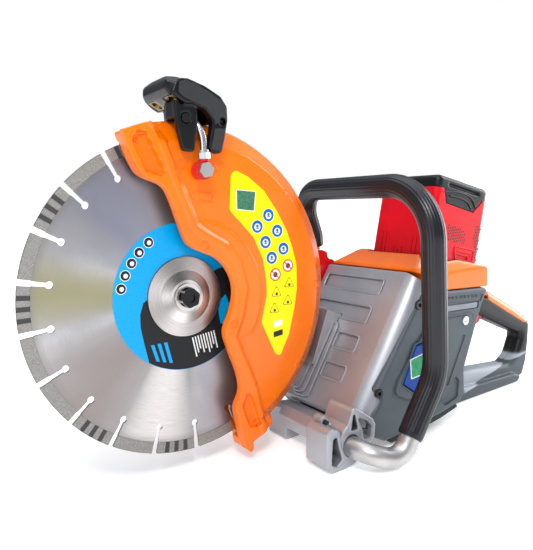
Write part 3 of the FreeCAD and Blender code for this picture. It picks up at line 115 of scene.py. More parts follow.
def make_world():
    """White to the camera, and a grey ramp from floor to sky to everything that reflects."""
    world = bpy.data.worlds.new("studio")
    bpy.context.scene.world = world
    world.use_nodes = True
    tree = world.node_tree
    backdrop = tree.nodes["Background"]
    ramp = tree.nodes.new("ShaderNodeValToRGB")
    split = tree.nodes.new("ShaderNodeSeparateXYZ")
    coords = tree.nodes.new("ShaderNodeTexCoord")
    tree.links.new(coords.outputs["Generated"], split.inputs[0])
    shift = tree.nodes.new("ShaderNodeMapRange")
    shift.inputs["From Min"].default_value = -1.0
    tree.links.new(split.outputs["Z"], shift.inputs["Value"])
    tree.links.new(shift.outputs[0], ramp.inputs[0])
    stops = ramp.color_ramp.elements
    stops[0].position, stops[0].color = 0.40, (0.22, 0.22, 0.22, 1)
    stops[1].position, stops[1].color = 0.9, (0.5, 0.54, 0.6, 1)
    for place in (0.5, 0.6):
        stops.new(place).color = (0.27, 0.27, 0.29, 1)
    path = tree.nodes.new("ShaderNodeLightPath")
    seen = tree.nodes.new("ShaderNodeMix")
    seen.data_type = "RGBA"
    seen.inputs[7].default_value = (1.0, 1.0, 1.0, 1)
    tree.links.new(path.outputs["Is Camera Ray"], seen.inputs[0])
    tree.links.new(ramp.outputs[0], seen.inputs[6])
    tree.links.new(seen.outputs[2], backdrop.inputs["Color"])
    backdrop.inputs["Strength"].default_value = 1.0


FLOOR_HALF = 30.0           # metres
FLOOR_GAP = 0.0002          # metres under the saw's lowest point


def make_floor():
    """White floor under the saw that glows more with distance, so that it ends in plain white."""
    floor = bpy.data.meshes.new("floor")
    z = CAD_BOX[0][2] - FLOOR_GAP
    corners = [(side * FLOOR_HALF, end * FLOOR_HALF, z) for side, end in ((-1, -1), (1, -1), (1, 1), (-1, 1))]
    floor.from_pydata(corners, [], [(0, 1, 2, 3)])
    ground = bpy.data.objects.new("floor", floor)
    bpy.context.scene.collection.objects.link(ground)
    surface = bpy.data.materials.new("floor")
    surface.use_nodes = True
    shader = surface.node_tree.nodes["Principled BSDF"]
    shader.inputs["Base Color"].default_value = (0.93, 0.93, 0.93, 1)
    shader.inputs["Roughness"].default_value = 0.8
    shader.inputs["Specular IOR Level"].default_value = 0.1
    nodes, links = surface.node_tree.nodes, surface.node_tree.links
    place = nodes.new("ShaderNodeTexCoord")
    reach = nodes.new("ShaderNodeVectorMath")
    reach.operation = "LENGTH"
    links.new(place.outputs["Object"], reach.inputs[0])
    fade = nodes.new("ShaderNodeMapRange")
    fade.inputs["From Min"].default_value = 0.25
    fade.inputs["From Max"].default_value = 1.1
    fade.inputs["To Min"].default_value = 0.3
    links.new(reach.outputs["Value"], fade.inputs["Value"])
    links.new(fade.outputs[0], shader.inputs["Emission Strength"])
    shader.inputs["Emission Color"].default_value = (1, 1, 1, 1)
    floor.materials.append(surface)


def make_studio():
    bpy.context.scene.view_settings.view_transform = "Standard"
    make_world()
    for box in SOFTBOXES:
        softbox(*box)
    make_floor()


# ---------------------------------------------------------------- materials

class Tree:
    """Short hand for building one material's nodes."""

    def __init__(self, name):
        self.material = bpy.data.materials.new(name)
        self.material.use_nodes = True
        self.nodes = self.material.node_tree.nodes
        self.links = self.material.node_tree.links
        self.shader = self.nodes["Principled BSDF"]

    def set(self, socket, value):
        """Give a socket a number, a colour or another node's output."""
        if isinstance(value, bpy.types.NodeSocket):
            self.links.new(value, socket)
        elif isinstance(value, (tuple, list)) and len(value) == 3 and socket.type == "RGBA":
            socket.default_value = (*value, 1)
        else:
            socket.default_value = value

    def add(self, kind, output=0, inputs=None, **settings):
        node = self.nodes.new("ShaderNode" + kind)
        for key, value in settings.items():
            setattr(node, key, value)
        for key, value in (inputs or {}).items():
            self.set(node.inputs[key], value)
        return node.outputs[output]

    def coords(self, scale=(1, 1, 1)):
        """Place on the object in millimetres from the blade's centre, times scale."""
        source = self.add("TexCoord", "Object")
        offset = self.add("VectorMath", inputs={0: source, 1: tuple(-HUB)}, operation="ADD")
        scales = tuple(s / MM for s in scale)
        return self.add("VectorMath", inputs={0: offset, 1: scales}, operation="MULTIPLY")

    def noise(self, scale, detail=3.0, stretch=(1, 1, 1), vector=None):
        vector = vector or self.coords(stretch)
        return self.add("TexNoise", "Fac", {"Vector": vector, "Scale": scale, "Detail": detail})

    def math(self, operation, a, b=0.0, clamp=False):
        return self.add("Math", inputs={0: a, 1: b}, operation=operation, use_clamp=clamp)

    def band(self, value, low, high, out_low=0.0, out_high=1.0):
        """Map value from low..high to out_low..out_high, clamped."""
        return self.add("MapRange", inputs={"Value": value, "From Min": low, "From Max": high,
                                            "To Min": out_low, "To Max": out_high})

    def blend(self, factor, a, b):
        mix = self.nodes.new("ShaderNodeMix")
        mix.data_type = "RGBA"
        self.set(mix.inputs[0], factor)
        self.set(mix.inputs[6], a)
        self.set(mix.inputs[7], b)
        return mix.outputs[2]

    def axes(self):
        split = self.nodes.new("ShaderNodeSeparateXYZ")
        self.set(split.inputs[0], self.coords())
        return split.outputs[0], split.outputs[1], split.outputs[2]

    def polar(self):
        """Distance from the spindle axis in millimetres, and angle about it."""
        x, _, z = self.axes()
        squares = self.math("ADD", self.math("MULTIPLY", x, x), self.math("MULTIPLY", z, z))
        return self.math("SQRT", squares), self.math("ARCTAN2", z, x)

    def bump(self, height, strength, distance=0.0002, rounding=None):
        """Fine relief, over a bevel of the given radius in millimetres."""
        inputs = {"Height": height, "Strength": strength, "Distance": distance}
        if rounding:
            inputs["Normal"] = self.add("Bevel", inputs={"Radius": rounding * MM}, samples=4)
        self.set(self.shader.inputs["Normal"], self.add("Bump", inputs=inputs))

    def look(self, color, rough, metal=0.0, coat=0.0, specular=0.3):
        shader = self.shader
        self.set(shader.inputs["Base Color"], color)
        self.set(shader.inputs["Roughness"], rough)
        self.set(shader.inputs["Metallic"], metal)
        shader.inputs["Coat Weight"].default_value = coat
        shader.inputs["Coat Roughness"].default_value = 0.08
        shader.inputs["Specular IOR Level"].default_value = specular
        return self.material


def shade(color, factor):
    return tuple(min(c * factor, 1.0) for c in color)


RUB_TINT = 0.105


def moulded(name, color, rough, grain=9.0, depth=0.12, coat=0.0, metal=0.0, rounding=0.5):
    """Moulded plastic or a painted casting: fine spark grain, slow colour drift, rubbed patches."""
    t = Tree(name)
    drift = t.band(t.noise(0.02, 4), 0.3, 0.7)
    fine = t.noise(grain, 2)
    rub = t.band(t.noise(0.09, 6), 0.55, 0.75)
    body = t.blend(drift, shade(color, 0.9), shade(color, 1.08))
    body = t.blend(t.math("MULTIPLY", rub, RUB_TINT), body, shade(color, 1.3))
    body = t.blend(t.band(fine, 0.35, 0.65, 0.0, 0.12), body, shade(color, 0.7))
    t.bump(fine, depth, rounding=rounding)
    return t.look(body, t.band(rub, 0, 1, rough, max(rough - 0.1, 0.05)), metal, coat)


def machined(name, color, rough, scale=6.0, stretch=(1, 8, 1), metal=1.0):
    """Turned or drawn metal with fine lines along one direction."""
    t = Tree(name)
    lines = t.noise(scale, 4, stretch)
    drift = t.band(t.noise(0.05, 3), 0.3, 0.7)
    body = t.blend(drift, shade(color, 0.85), shade(color, 1.1))
    body = t.blend(t.band(lines, 0.3, 0.7, 0, 0.25), body, shade(color, 0.6))
    t.bump(lines, 0.05)
    return t.look(body, t.band(lines, 0.3, 0.7, rough, rough + 0.12), metal)


def blade_steel():
    """Ground disc steel: grain runs round the disc, with a painted sheen and stains in broad radial bands,
    and painted reflections in bands by angle about the hub.
    """
    t = Tree("blade_steel")
    radius, angle = t.polar()
    round_disc = t.add("CombineXYZ", inputs={0: t.math("MULTIPLY", radius, 1.5),
                                             1: t.math("MULTIPLY", angle, 7.0), 2: 0.0})
    grain = t.add("TexNoise", "Fac", {"Vector": round_disc, "Scale": 1.0, "Detail": 5.0, "Roughness": 0.7})
    sheen_and_stain_coords = t.add("CombineXYZ", inputs={0: t.math("MULTIPLY", radius, 0.004), 1: t.math("COSINE", angle),
                                        2: t.math("SINE", angle)})
    painted_sheen_rays = t.add("TexNoise", "Fac", {"Vector": sheen_and_stain_coords, "Scale": 2.2, "Detail": 3.0})
    # Painted sheen: broad bands by angle about the hub make the steel lighter and darker.
    body = t.blend(t.band(painted_sheen_rays, 0.35, 0.65), (0.3, 0.295, 0.3), (0.5, 0.49, 0.5))
    # Painted reflections: olive, brown, blue and pale bands at set angles about the hub stand in for the
    # surroundings mirrored in the steel.
    for reflection_heading, width, reflection_tint in ((2.98, 0.965, (0.26, 0.24, 0.08)), (3.75, 0.9, (0.24, 0.19, 0.17)),
                                 (2.2, 0.84, (0.24, 0.25, 0.34)), (4.4, 0.96, (0.78, 0.75, 0.72)),
                                 (5.1, 0.93, (0.34, 0.34, 0.42))):
        reflection_facing = t.math("COSINE", t.math("SUBTRACT", angle, reflection_heading))
        body = t.blend(t.band(reflection_facing, width, 1.0, 0.0, 0.8), body, reflection_tint)
    stains = t.add("TexNoise", "Fac", {"Vector": sheen_and_stain_coords, "Scale": 1.3, "Detail": 2.0})
    body = t.blend(t.band(stains, 0.52, 0.66, 0, 0.2), body, (0.5, 0.44, 0.28))
    body = t.blend(t.band(grain, 0.35, 0.7, 0.0, 0.4), body, (0.3, 0.3, 0.31))
    rim = t.band(radius, 132, 139, 0, 0.55)
    body = t.blend(rim, body, (0.24, 0.23, 0.22))
    t.bump(grain, 0.12)
    return t.look(body, t.band(grain, 0.3, 0.7, 0.3, 0.46), 0.92)


SEGMENTS = 21
SLOT_PHASE = 115.93         # angle of the first gullet slot, degrees
TURBO = (1, 3, 6, 8, 11, 13, 16, 18, 20)    # segments that have cross grooves
GROOVES = (0.282, 0.5, 0.718)               # their places along the segment
SEGMENT_MIDDLE = 144.5      # radius


def segment_grit():
    """Sintered diamond segment: dull matrix, grit specks and scratches from cutting, and painted shade in the
    cross grooves.
    """
    t = Tree("segment_grit")
    radius, angle = t.polar()
    scratch = t.noise(1.6, 5)
    past_slot = t.math("ADD", angle, math.tau - math.radians(SLOT_PHASE))
    turns = t.math("DIVIDE", past_slot, math.tau / SEGMENTS)
    share = t.math("FRACT", turns)
    index = t.math("FLOOR", t.math("MODULO", turns, SEGMENTS))
    turbo = 0.0
    for one in TURBO:
        away = t.math("ABSOLUTE", t.math("SUBTRACT", index, one))
        turbo = t.math("ADD", turbo, t.math("LESS_THAN", away, 0.5))
    groove_shade = 0.0
    for place in GROOVES:
        near = t.math("ABSOLUTE", t.math("SUBTRACT", share, place))
        groove_shade = t.math("ADD", groove_shade, t.band(near, 0.055, 0.04))
    edge = t.band(t.math("ABSOLUTE", t.math("SUBTRACT", radius, SEGMENT_MIDDLE)), 4.6, 5.3, 0, 0.35)
    grit = t.add("TexVoronoi", "Distance", {"Vector": t.coords(), "Scale": 1.6})
    body = t.blend(t.band(scratch, 0.35, 0.65), (0.2, 0.195, 0.185), (0.38, 0.37, 0.35))
    body = t.blend(t.band(grit, 0.1, 0.35, 0.5, 0.0), body, (0.1, 0.1, 0.1))
    body = t.blend(edge, body, (0.12, 0.11, 0.1))
    # Painted shade: the turbo segments' cross grooves are coloured near black.
    body = t.blend(t.math("MULTIPLY", t.math("MULTIPLY", turbo, groove_shade), 0.85), body, (0.03, 0.03, 0.035))
    t.bump(t.math("ADD", scratch, grit), 0.35)
    return t.look(body, 0.55, 0.55)


def turned_steel(name, color, rough):
    """Lathe finish: fine rings round the spindle axis, a painted radial play of light, and a painted
    highlight on the polished cone.
    """
    t = Tree(name)
    radius, angle = t.polar()
    round_axis = t.add("CombineXYZ", inputs={0: t.math("MULTIPLY", radius, 3.0),
                                             1: t.math("MULTIPLY", angle, 1.5), 2: t.axes()[1]})
    rings = t.add("TexNoise", "Fac", {"Vector": round_axis, "Scale": 1.0, "Detail": 4.0})
    # Painted light: the steel is lightened and darkened twice round the axis.
    swing = t.math("COSINE", t.math("ADD", t.math("MULTIPLY", angle, 2.0), 0.9))
    fan = t.math("POWER", t.math("ABSOLUTE", swing), 2.0)
    body = t.blend(fan, shade(color, 0.72), shade(color, 1.25))
    cone = t.math("MULTIPLY", t.band(radius, 15, 16), t.band(radius, 25, 24))
    # Painted highlight: between radius 15 and 25 the colour is lifted towards near white, most where the
    # painted light is brightest.
    body = t.blend(t.math("MULTIPLY", cone, 0.7), body, t.blend(fan, shade(color, 0.6), (0.95, 0.93, 0.9)))
    body = t.blend(t.band(rings, 0.35, 0.65, 0, 0.3), body, shade(color, 0.55))
    t.bump(rings, 0.1)
    return t.look(body, t.band(rings, 0.3, 0.7, rough, rough + 0.12), 1.0)


def rubber(name, color=(0.006, 0.006, 0.008), rough=0.42, specular=0.35):
    """Dark rubber with a fine skin and some dust."""
    t = Tree(name)
    fine = t.noise(3.0, 4)
    dust = t.band(t.noise(0.06, 5), 0.5, 0.8, 0, 0.3)
    body = t.blend(dust, color, shade(color, 2.6))
    t.bump(fine, 0.08)
    return t.look(body, t.band(fine, 0.3, 0.7, rough - 0.05, rough + 0.1), specular=specular)


def printed(name, color, rough=0.25, drift=0.06):
    """Printed film: flat ink with a faint mottle under a clear layer."""
    t = Tree(name)
    mottle = t.noise(0.5, 5)
    fine = t.noise(6.0, 2)
    body = t.blend(t.band(mottle, 0.3, 0.7), shade(color, 1 - drift), shade(color, 1 + drift))
    t.bump(fine, 0.03)
    return t.look(body, t.band(mottle, 0.3, 0.7, rough, rough + 0.1), coat=0.04, specular=0.2)


def glow(name, color, strength):
    """Faintly dotted surface that gives light."""
    t = Tree(name)
    dots = t.noise(2.0, 2)
    body = t.blend(t.band(dots, 0.3, 0.7), shade(color, 0.8), color)
    t.shader.inputs["Emission Color"].default_value = (*color, 1)
    t.shader.inputs["Emission Strength"].default_value = strength
    return t.look(body, 0.3)


ORANGE = (0.92, 0.165, 0.0)
HOUSING = (0.075, 0.094, 0.108)
SILVER = (0.36, 0.37, 0.4)
BLACK = (0.004, 0.0044, 0.0056)
RED = (0.66, 0.003, 0.012)


def handle_finish():
    """Rear handle: black upper bar, dark lower bar, and a light-grey skin over the lower bar's rear."""
    t = Tree("rear_handle")
    x, _, z = t.axes()
    fine = t.noise(7.0, 2)
    low = t.band(t.math("ADD", z, t.math("MULTIPLY", x, -0.16)), -214.5, -213.5)
    top = t.math("MULTIPLY", low, t.band(z, -136, -139, 0, 1))
    skin = t.math("MULTIPLY", top, t.band(x, 330, 333), True)
    pale = t.blend(t.noise(0.05, 3), (0.33, 0.37, 0.42), (0.42, 0.46, 0.5))
    dark = t.blend(t.noise(0.05, 3), shade(HOUSING, 0.75), shade(HOUSING, 0.95))
    body = t.blend(t.band(z, -139, -133), dark, BLACK)
    body = t.blend(skin, body, pale)
    body = t.blend(t.band(fine, 0.35, 0.65, 0, 0.15), body, (0.03, 0.03, 0.03))
    t.bump(fine, 0.1)
    return t.look(body, 0.42)


def battery_finish():
    """Red moulded plastic of the battery's case."""
    t = Tree("battery_red")
    drift = t.band(t.noise(0.03, 3), 0.3, 0.7)
    fine = t.noise(8.0, 2)
    body = t.blend(drift, shade(RED, 0.9), shade(RED, 1.12))
    body = t.blend(t.band(fine, 0.35, 0.65, 0, 0.15), body, shade(RED, 0.6))
    t.bump(fine, 0.12, rounding=0.8)
    return t.look(body, 0.4, specular=0.2)


def cast_silver():
    """Silver powder-coated casting: tiny flakes in a grey coat, darker in its recesses, for black plastic in
    the foot's pockets and as painted shade elsewhere.
    """
    t = Tree("cast_silver")
    flake = t.add("TexVoronoi", "Color", {"Vector": t.coords(), "Scale": 3.0})
    fleck = t.band(flake, 0.2, 0.9, 0, 0.35)
    drift = t.band(t.noise(0.02, 4), 0.3, 0.7)
    fine = t.noise(4.0, 3)
    body = t.blend(drift, shade(SILVER, 0.86), shade(SILVER, 1.12))
    body = t.blend(fleck, body, shade(SILVER, 1.6))
    # Occlusion mask: recesses turn near black, for the black plastic in the foot and clamp pockets, and as
    # painted shade in the cover's recesses and every crease.
    hollow_black_and_shade = t.add("AmbientOcclusion", "AO", {"Distance": 0.014}, samples=6, only_local=True)
    body = t.blend(t.band(hollow_black_and_shade, 0.42, 0.2), body, (0.02, 0.02, 0.022))
    t.bump(fine, 0.08, rounding=0.9)
    return t.look(body, t.band(fine, 0.3, 0.7, 0.3, 0.42), 0.55)


def winding_copper():
    """Enamelled wire laid in turns along the motor's axis."""
    t = Tree("windings")
    y = t.axes()[1]
    turns = t.math("SINE", t.math("MULTIPLY", y, 7.0))
    body = t.blend(t.band(turns, -1, 1), (0.3, 0.1, 0.03), (0.7, 0.3, 0.12))
    t.bump(turns, 0.4)
    return t.look(body, 0.35, 0.8)


def board_finish():
    """Green circuit board with pale tracks."""
    t = Tree("board")
    tracks = t.add("TexBrick", "Color", {"Vector": t.coords((0.4, 0.4, 0.4)), "Scale": 1.0,
                                         "Color1": (0.01, 0.1, 0.03), "Color2": (0.02, 0.16, 0.05),
                                         "Mortar": (0.5, 0.35, 0.1)})
    t.bump(t.noise(2.0, 2), 0.1)
    return t.look(tracks, 0.3)


def cell_finish():
    """Film-wrapped cells with a band round each."""
    t = Tree("cell_wrap")
    z = t.axes()[2]
    bands = t.band(t.math("SINE", t.math("MULTIPLY", z, 0.35)), -0.1, 0.1)
    body = t.blend(bands, (0.02, 0.2, 0.14), (0.04, 0.32, 0.22))
    t.bump(t.noise(2.0, 2), 0.05)
    return t.look(body, 0.3, coat=0.4)


def bolt_finish():
    """Blackened bolt head on a bright washer face."""
    t = Tree("black_oxide")
    radius = t.polar()[0]
    lines = t.noise(5.0, 4)
    bright = t.band(radius, 9.2, 9.4)
    body = t.blend(bright, (0.012, 0.012, 0.014), (0.6, 0.57, 0.55))
    body = t.blend(t.band(lines, 0.3, 0.7, 0, 0.25), body, (0.1, 0.09, 0.09))
    t.bump(lines, 0.06)
    return t.look(body, 0.28, 0.95)


def banjo_finish():
    """Red anodised fitting whose clamping nut and top collar are left bright."""
    t = Tree("banjo_red")
    z = t.axes()[2]
    lines = t.noise(5.0, 3, (1, 1, 6))
    bright = t.band(z, 125.2, 125.4)
    body = t.blend(bright, shade(RED, 0.95), (0.55, 0.55, 0.55))
    body = t.blend(t.band(lines, 0.3, 0.7, 0, 0.2), body, (0.12, 0.1, 0.1))
    t.bump(lines, 0.06, rounding=0.4)
    return t.look(body, 0.28, t.math("MULTIPLY", bright, 0.9))


def all_finishes():
    """Every finish by a short name, each already laid on its CAD nodes."""
    orange = moulded("guard_orange", ORANGE, 0.3, grain=3.0, depth=0.03, coat=0.25, rounding=0.9)
    cover = moulded("cover_orange", ORANGE, 0.25, grain=3.0, depth=0.03, coat=0.35, rounding=1.2)
    housing = moulded("housing_grey", HOUSING, 0.46, rounding=0.8)
    black = moulded("satin_black", BLACK, 0.4, rounding=0.6)
    gloss = moulded("handle_black", BLACK, 0.33, grain=12.0, depth=0.05, rounding=1.0)
    steel = machined("machined_steel", (0.6, 0.6, 0.6), 0.28)
    screw = machined("screw_steel", (0.07, 0.07, 0.075), 0.35)
    red = moulded("key_red", RED, 0.25, grain=4.0, depth=0.03, coat=0.1)
    silver = cast_silver()
    cast = moulded("raw_casting", (0.5, 0.5, 0.51), 0.45, metal=0.8, depth=0.2)
    chrome = machined("bright_pipe", (0.78, 0.78, 0.79), 0.14, stretch=(1, 1, 0.2))
    flange = turned_steel("flange_steel", (0.46, 0.43, 0.42), 0.24)
    insert = moulded("grip_grey", (0.02, 0.021, 0.024), 0.5, grain=14.0, depth=0.5)
    tube = machined("bare_tube", (0.56, 0.55, 0.54), 0.36, scale=1.2, stretch=(1, 1, 1))
    pairs = {
        "blade_steel": (blade_steel(), ["blade_core"]),
        "segment": (segment_grit(), ["blade_segments"]),
        "label": (printed("label_cyan", (0.0, 0.33, 0.72)), ["blade_label"]),
        "flange": (flange, ["outer_flange", "inner_flange"]),
        "bolt": (bolt_finish(), ["blade_bolt"]),
        "steel": (steel, ["spindle", "spindle_pulley", "motor_shaft", "drive_pulley", "guard_ring",
                          "rotor_core", "rotor_magnets", "trigger_pin", "ball_bearings", "banjo_bolt",
                          "panel_lock"]),
        "screw": (screw, ["casing_screws", "frame_screws", "guard_screws"]),
        "cast": (cast, ["cutting_arm", "belt_cover", "motor_case"]),
        "belt": (rubber("belt_rubber"), ["drive_belt", "rubber_pads"]),
        "copper": (winding_copper(), ["motor_stator"]),
        "silver": (silver, ["front_cover", "front_foot", "tube_clamp"]),
        "housing": (housing, ["left_housing", "right_housing", "side_hatch"]),
        "badge": (printed("badge_blue", (0.0, 0.05, 0.3), 0.08), ["badge"]),
        "cover": (cover, ["top_cover", "handle_top_strip"]),
        "guard": (orange, ["guard_near_shell", "guard_far_shell"]),
        "black": (black, ["battery_dock", "cooling_fan", "trigger_switch", "battery_cap", "lamp_button"]),
        "gloss": (gloss, ["guard_handle"]),
        "insert": (insert, ["grip_inserts"]),
        "handle": (handle_finish(), ["handle_left", "handle_right"]),
        "brass": (machined("contact_brass", (0.75, 0.5, 0.18), 0.25), ["dock_terminals"]),
        "board": (board_finish(), ["controller"]),
        "tube": (tube, ["handlebar_tube"]),
        "grip": (rubber("grip_rubber", (0.005, 0.005, 0.009), 0.3, 0.45), ["handlebar_grip"]),
        "red": (red, ["handlebar_bracket", "trigger", "lock_button"]),
        "banjo": (banjo_finish(), ["water_banjo"]),
        "battery": (battery_finish(), ["battery_case", "battery_latch"]),
        "cells": (cell_finish(), ["battery_cells"]),
        "mirror": (machined("lamp_mirror", (0.2, 0.15, 0.06), 0.3), ["lamp_reflectors"]),
        "led": (glow("lamp_chip", (0.7, 0.95, 0.05), 3.0), ["lamp_leds"]),
        "pipe": (chrome, ["water_pipe"]),
    }
    finishes = {}
    for key, (material, nodes) in pairs.items():
        finishes[key] = material
        for name in nodes:
            mesh = NODES[name].data
            mesh.materials.clear()
            mesh.materials.append(material)
    return finishes


# ---------------------------------------------------------------- pieces

SHARP_FROM = 38             # degrees between faces


def piece(name, vertices, faces, material, body, slot, smooth=True):
    """A mesh in row-frame metres from points in blade millimetres, riding on a body."""
    mesh = bpy.data.meshes.new(name)
    mesh.from_pydata([tuple(at(*v)) for v in vertices], [], faces)
    mesh.materials.append(material)
    if smooth:
        mesh.shade_smooth()
        mesh.set_sharp_from_angle(angle=math.radians(SHARP_FROM))
    made = bpy.data.objects.new(name, mesh)
    bpy.context.scene.collection.objects.link(made)
    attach(made, body)
    return made


def rounded(points, radius, steps=6):
    """A closed outline with its corners replaced by arcs."""
    made = []
    count = len(points)
    for i in range(count):
        before, here, after = (Vector(points[(i + k - 1) % count]) for k in range(3))
        u, v = (before - here), (after - here)
        angle = u.angle(v)
        reach = min(radius / math.tan(angle / 2), u.length * 0.45, v.length * 0.45)
        a, b = here + u.normalized() * reach, here + v.normalized() * reach
        for k in range(steps + 1):
            s = k / steps
            made.append(tuple(a * (1 - s) ** 2 + here * 2 * s * (1 - s) + b * s ** 2))
    return made


def plate(name, outline, y0, y1, material, body, slot):
    """A thin flat piece: an outline in (x, z) between two Y planes, its rim closed."""
    n = len(outline)
    vertices = [(x, y0, z) for x, z in outline] + [(x, y1, z) for x, z in outline]
    faces = [tuple(range(n)), tuple(range(2 * n - 1, n - 1, -1))]
    faces += [(i, i + n, (i + 1) % n + n, (i + 1) % n) for i in range(n)]
    return piece(name, vertices, faces, material, body, slot, smooth=False)


def circle(x, z, r, count=40):
    turns = [math.tau * k / count for k in range(count)]
    return [(x + r * math.cos(turn), z + r * math.sin(turn)) for turn in turns]


# ---------------------------------------------------------------- guard: pressed left half

GUARD_Y = -22.0
FRONT_EDGE = [(-56, 151), (-54, 143.5), (-50.7, 132), (-45, 119), (-39, 111), (-24, 105), (-18, 96), (-8, 60),
              (-3, 49), (11, 42),
              (28, 34), (39, 18), (42, 0), (35, -20), (27, -33), (28, -45), (44, -92), (33, -111), (36, -122),
              (41.5, -157), (49, -162.5)]
# Angle about the spindle in degrees, and the rim's radius there.
GUARD_RIM = [(-75.5, 162), (-73.2, 169.7), (-71.8, 166.5), (-71.2, 160.5), (-65.7, 160.2), (-61, 161.3),
             (112, 161.5)]
RIM_FROM, RIM_TO = -72.6, 110.2
RIDGE_CREST = [(-60, 170), (-33, 165), (-22, 153), (-12, 118), (6, 66), (17, 58), (36, 46), (49, 28), (54, 2),
               (47, -24), (38, -42), (56, -92), (66, -138), (66, -170), (-10, -170), (-110, 0), (-100, 170)]
UPPER_POCKET = [(-42, 151), (-35, 150), (-20, 116), (-23, 112), (-38, 117), (-48, 143)]
LOWER_POCKET = [(48, -101), (53, -104), (63, -136), (59, -139), (49, -136), (42, -113)]
HEAD_BLOCK = [(-52.6, 143), (-54.8, 151.2), (-37, 157.2), (-30.5, 156.6), (-30, 151.5), (-40, 147.2)]
TIP_BLOCK = [(39.8, -147.2), (41.9, -156.5), (49, -162), (52, -158), (50, -151.3), (66, -145.5),
             (73.3, -137.8), (70.5, -135.2), (60, -140.5), (48, -145)]
CIRCLES = [(-44.6, 144.8), (-3.9, 121.6), (29.1, 116.1), (110, 91.5), (13.3, 48), (38, -30), (141.6, -4.6),
           (112.7, -86), (76, -122)]
ARROW = [(4, 94.6), (13.6, 99.8), (13.4, 96), (27.4, 94.2), (26, 87), (12.8, 89), (12.6, 85.6)]


def smooth(value, low, high):
    """0 at low and 1 at high, eased at both ends."""
    s = np.clip((value - low) / (high - low), 0, 1)
    return s * s * (3 - 2 * s)


def edge_distance(x, z, points, closed=True):
    """Distance to an outline, and whether each place is inside it."""
    best = np.full(x.shape, 1e9)
    inside = np.zeros(x.shape, bool)
    ends = points[1:] + (points[:1] if closed else [])
    for (ax, az), (bx, bz) in zip(points, ends):
        dx, dz = bx - ax, bz - az
        s = np.clip(((x - ax) * dx + (z - az) * dz) / (dx * dx + dz * dz), 0, 1)
        best = np.minimum(best, np.hypot(x - ax - s * dx, z - az - s * dz))
        crosses = (az > z) != (bz > z)
        slope = dx / dz if dz else 0.0
        inside ^= crosses & (x < ax + (z - az) * slope)
    return best, inside


def signed(x, z, points):
    """Distance to an outline, positive inside it."""
    distance, inside = edge_distance(x, z, points)
    return np.where(inside, distance, -distance)


def guard_relief(x, z):
    """Height of the pressed detail over the guard's flat face."""
    r = np.hypot(x, z)
    ridge = signed(x, z, RIDGE_CREST)
    height = 4.2 * smooth(ridge, -6.0, 0.5) - 0.9 * smooth(ridge, 3.5, 6.5)
    sector = smooth(x, 8, 30) * smooth(z, -48, -36)
    height += 1.3 * smooth(r, 74.5, 70.5) * sector * smooth(ridge, 0, -8)
    for pocket, depth in ((UPPER_POCKET, 5.2), (LOWER_POCKET, 4.0)):
        height -= depth * smooth(signed(x, z, pocket), -0.8, 1.6)
    return height


def chaikin(points, rounds):
    """An open line with its corners cut again and again, until it runs smooth."""
    for _ in range(rounds):
        cut = [points[0]]
        for (ax, az), (bx, bz) in zip(points, points[1:]):
            cut.append((ax * 0.75 + bx * 0.25, az * 0.75 + bz * 0.25))
            cut.append((ax * 0.25 + bx * 0.75, az * 0.25 + bz * 0.75))
        points = cut + [points[-1]]
    return points


def resample(points, step):
    """X and Z of places at even distances along a line."""
    points = np.array(points, float)
    lengths = np.concatenate([[0], np.cumsum(np.hypot(*np.diff(points, axis=0).T))])
    marks = np.linspace(0, lengths[-1], int(lengths[-1] / step) + 1)
    return np.interp(marks, lengths, points[:, 0]), np.interp(marks, lengths, points[:, 1])


def guard_ends(x, z):
    """1 on the full-depth blocks at the guard's head and tip, 0 where its rim bends back."""
    foot = -13.5 - 0.277 * (z - 118.3)
    head = smooth(x - foot, 1.0, -5.0) * smooth(z, 60, 90)
    tip = smooth(z, -128, -138) * smooth(x, 84, 76)
    return np.maximum(head, tip)


def guard_face(x, z):
    """Y of the guard's outer face."""
    r = np.hypot(x, z)
    bend = smooth(r, 138, 146) * np.clip((r - 142) / 18.5, 0, 1)
    drop = 15.0 * bend + 4.0 * smooth(r, 159.0, 161.6)
    flat = guard_ends(x, z)
    return GUARD_Y + drop * (1 - flat) - guard_relief(x, z) * np.maximum(smooth(r, 158, 150), flat)


EDGE_ROWS = (0.4, 1.0, 1.8)     # rows of points that follow the outline inward
GRID_STEP = 1.25


def guard_outline():
    """The front edge from head to tip, and the round rim back up from tip to head."""
    front = [tuple(p) for p in np.stack(resample(chaikin(FRONT_EDGE, 3), 0.9), -1)]
    table = np.array(sorted(GUARD_RIM), float)
    angles = np.arange(RIM_FROM, RIM_TO, 0.45)
    reach = np.interp(angles, table[:, 0], table[:, 1])
    rim = np.stack([reach * np.cos(np.radians(angles)), reach * np.sin(np.radians(angles))], -1)
    return front, [tuple(p) for p in rim]


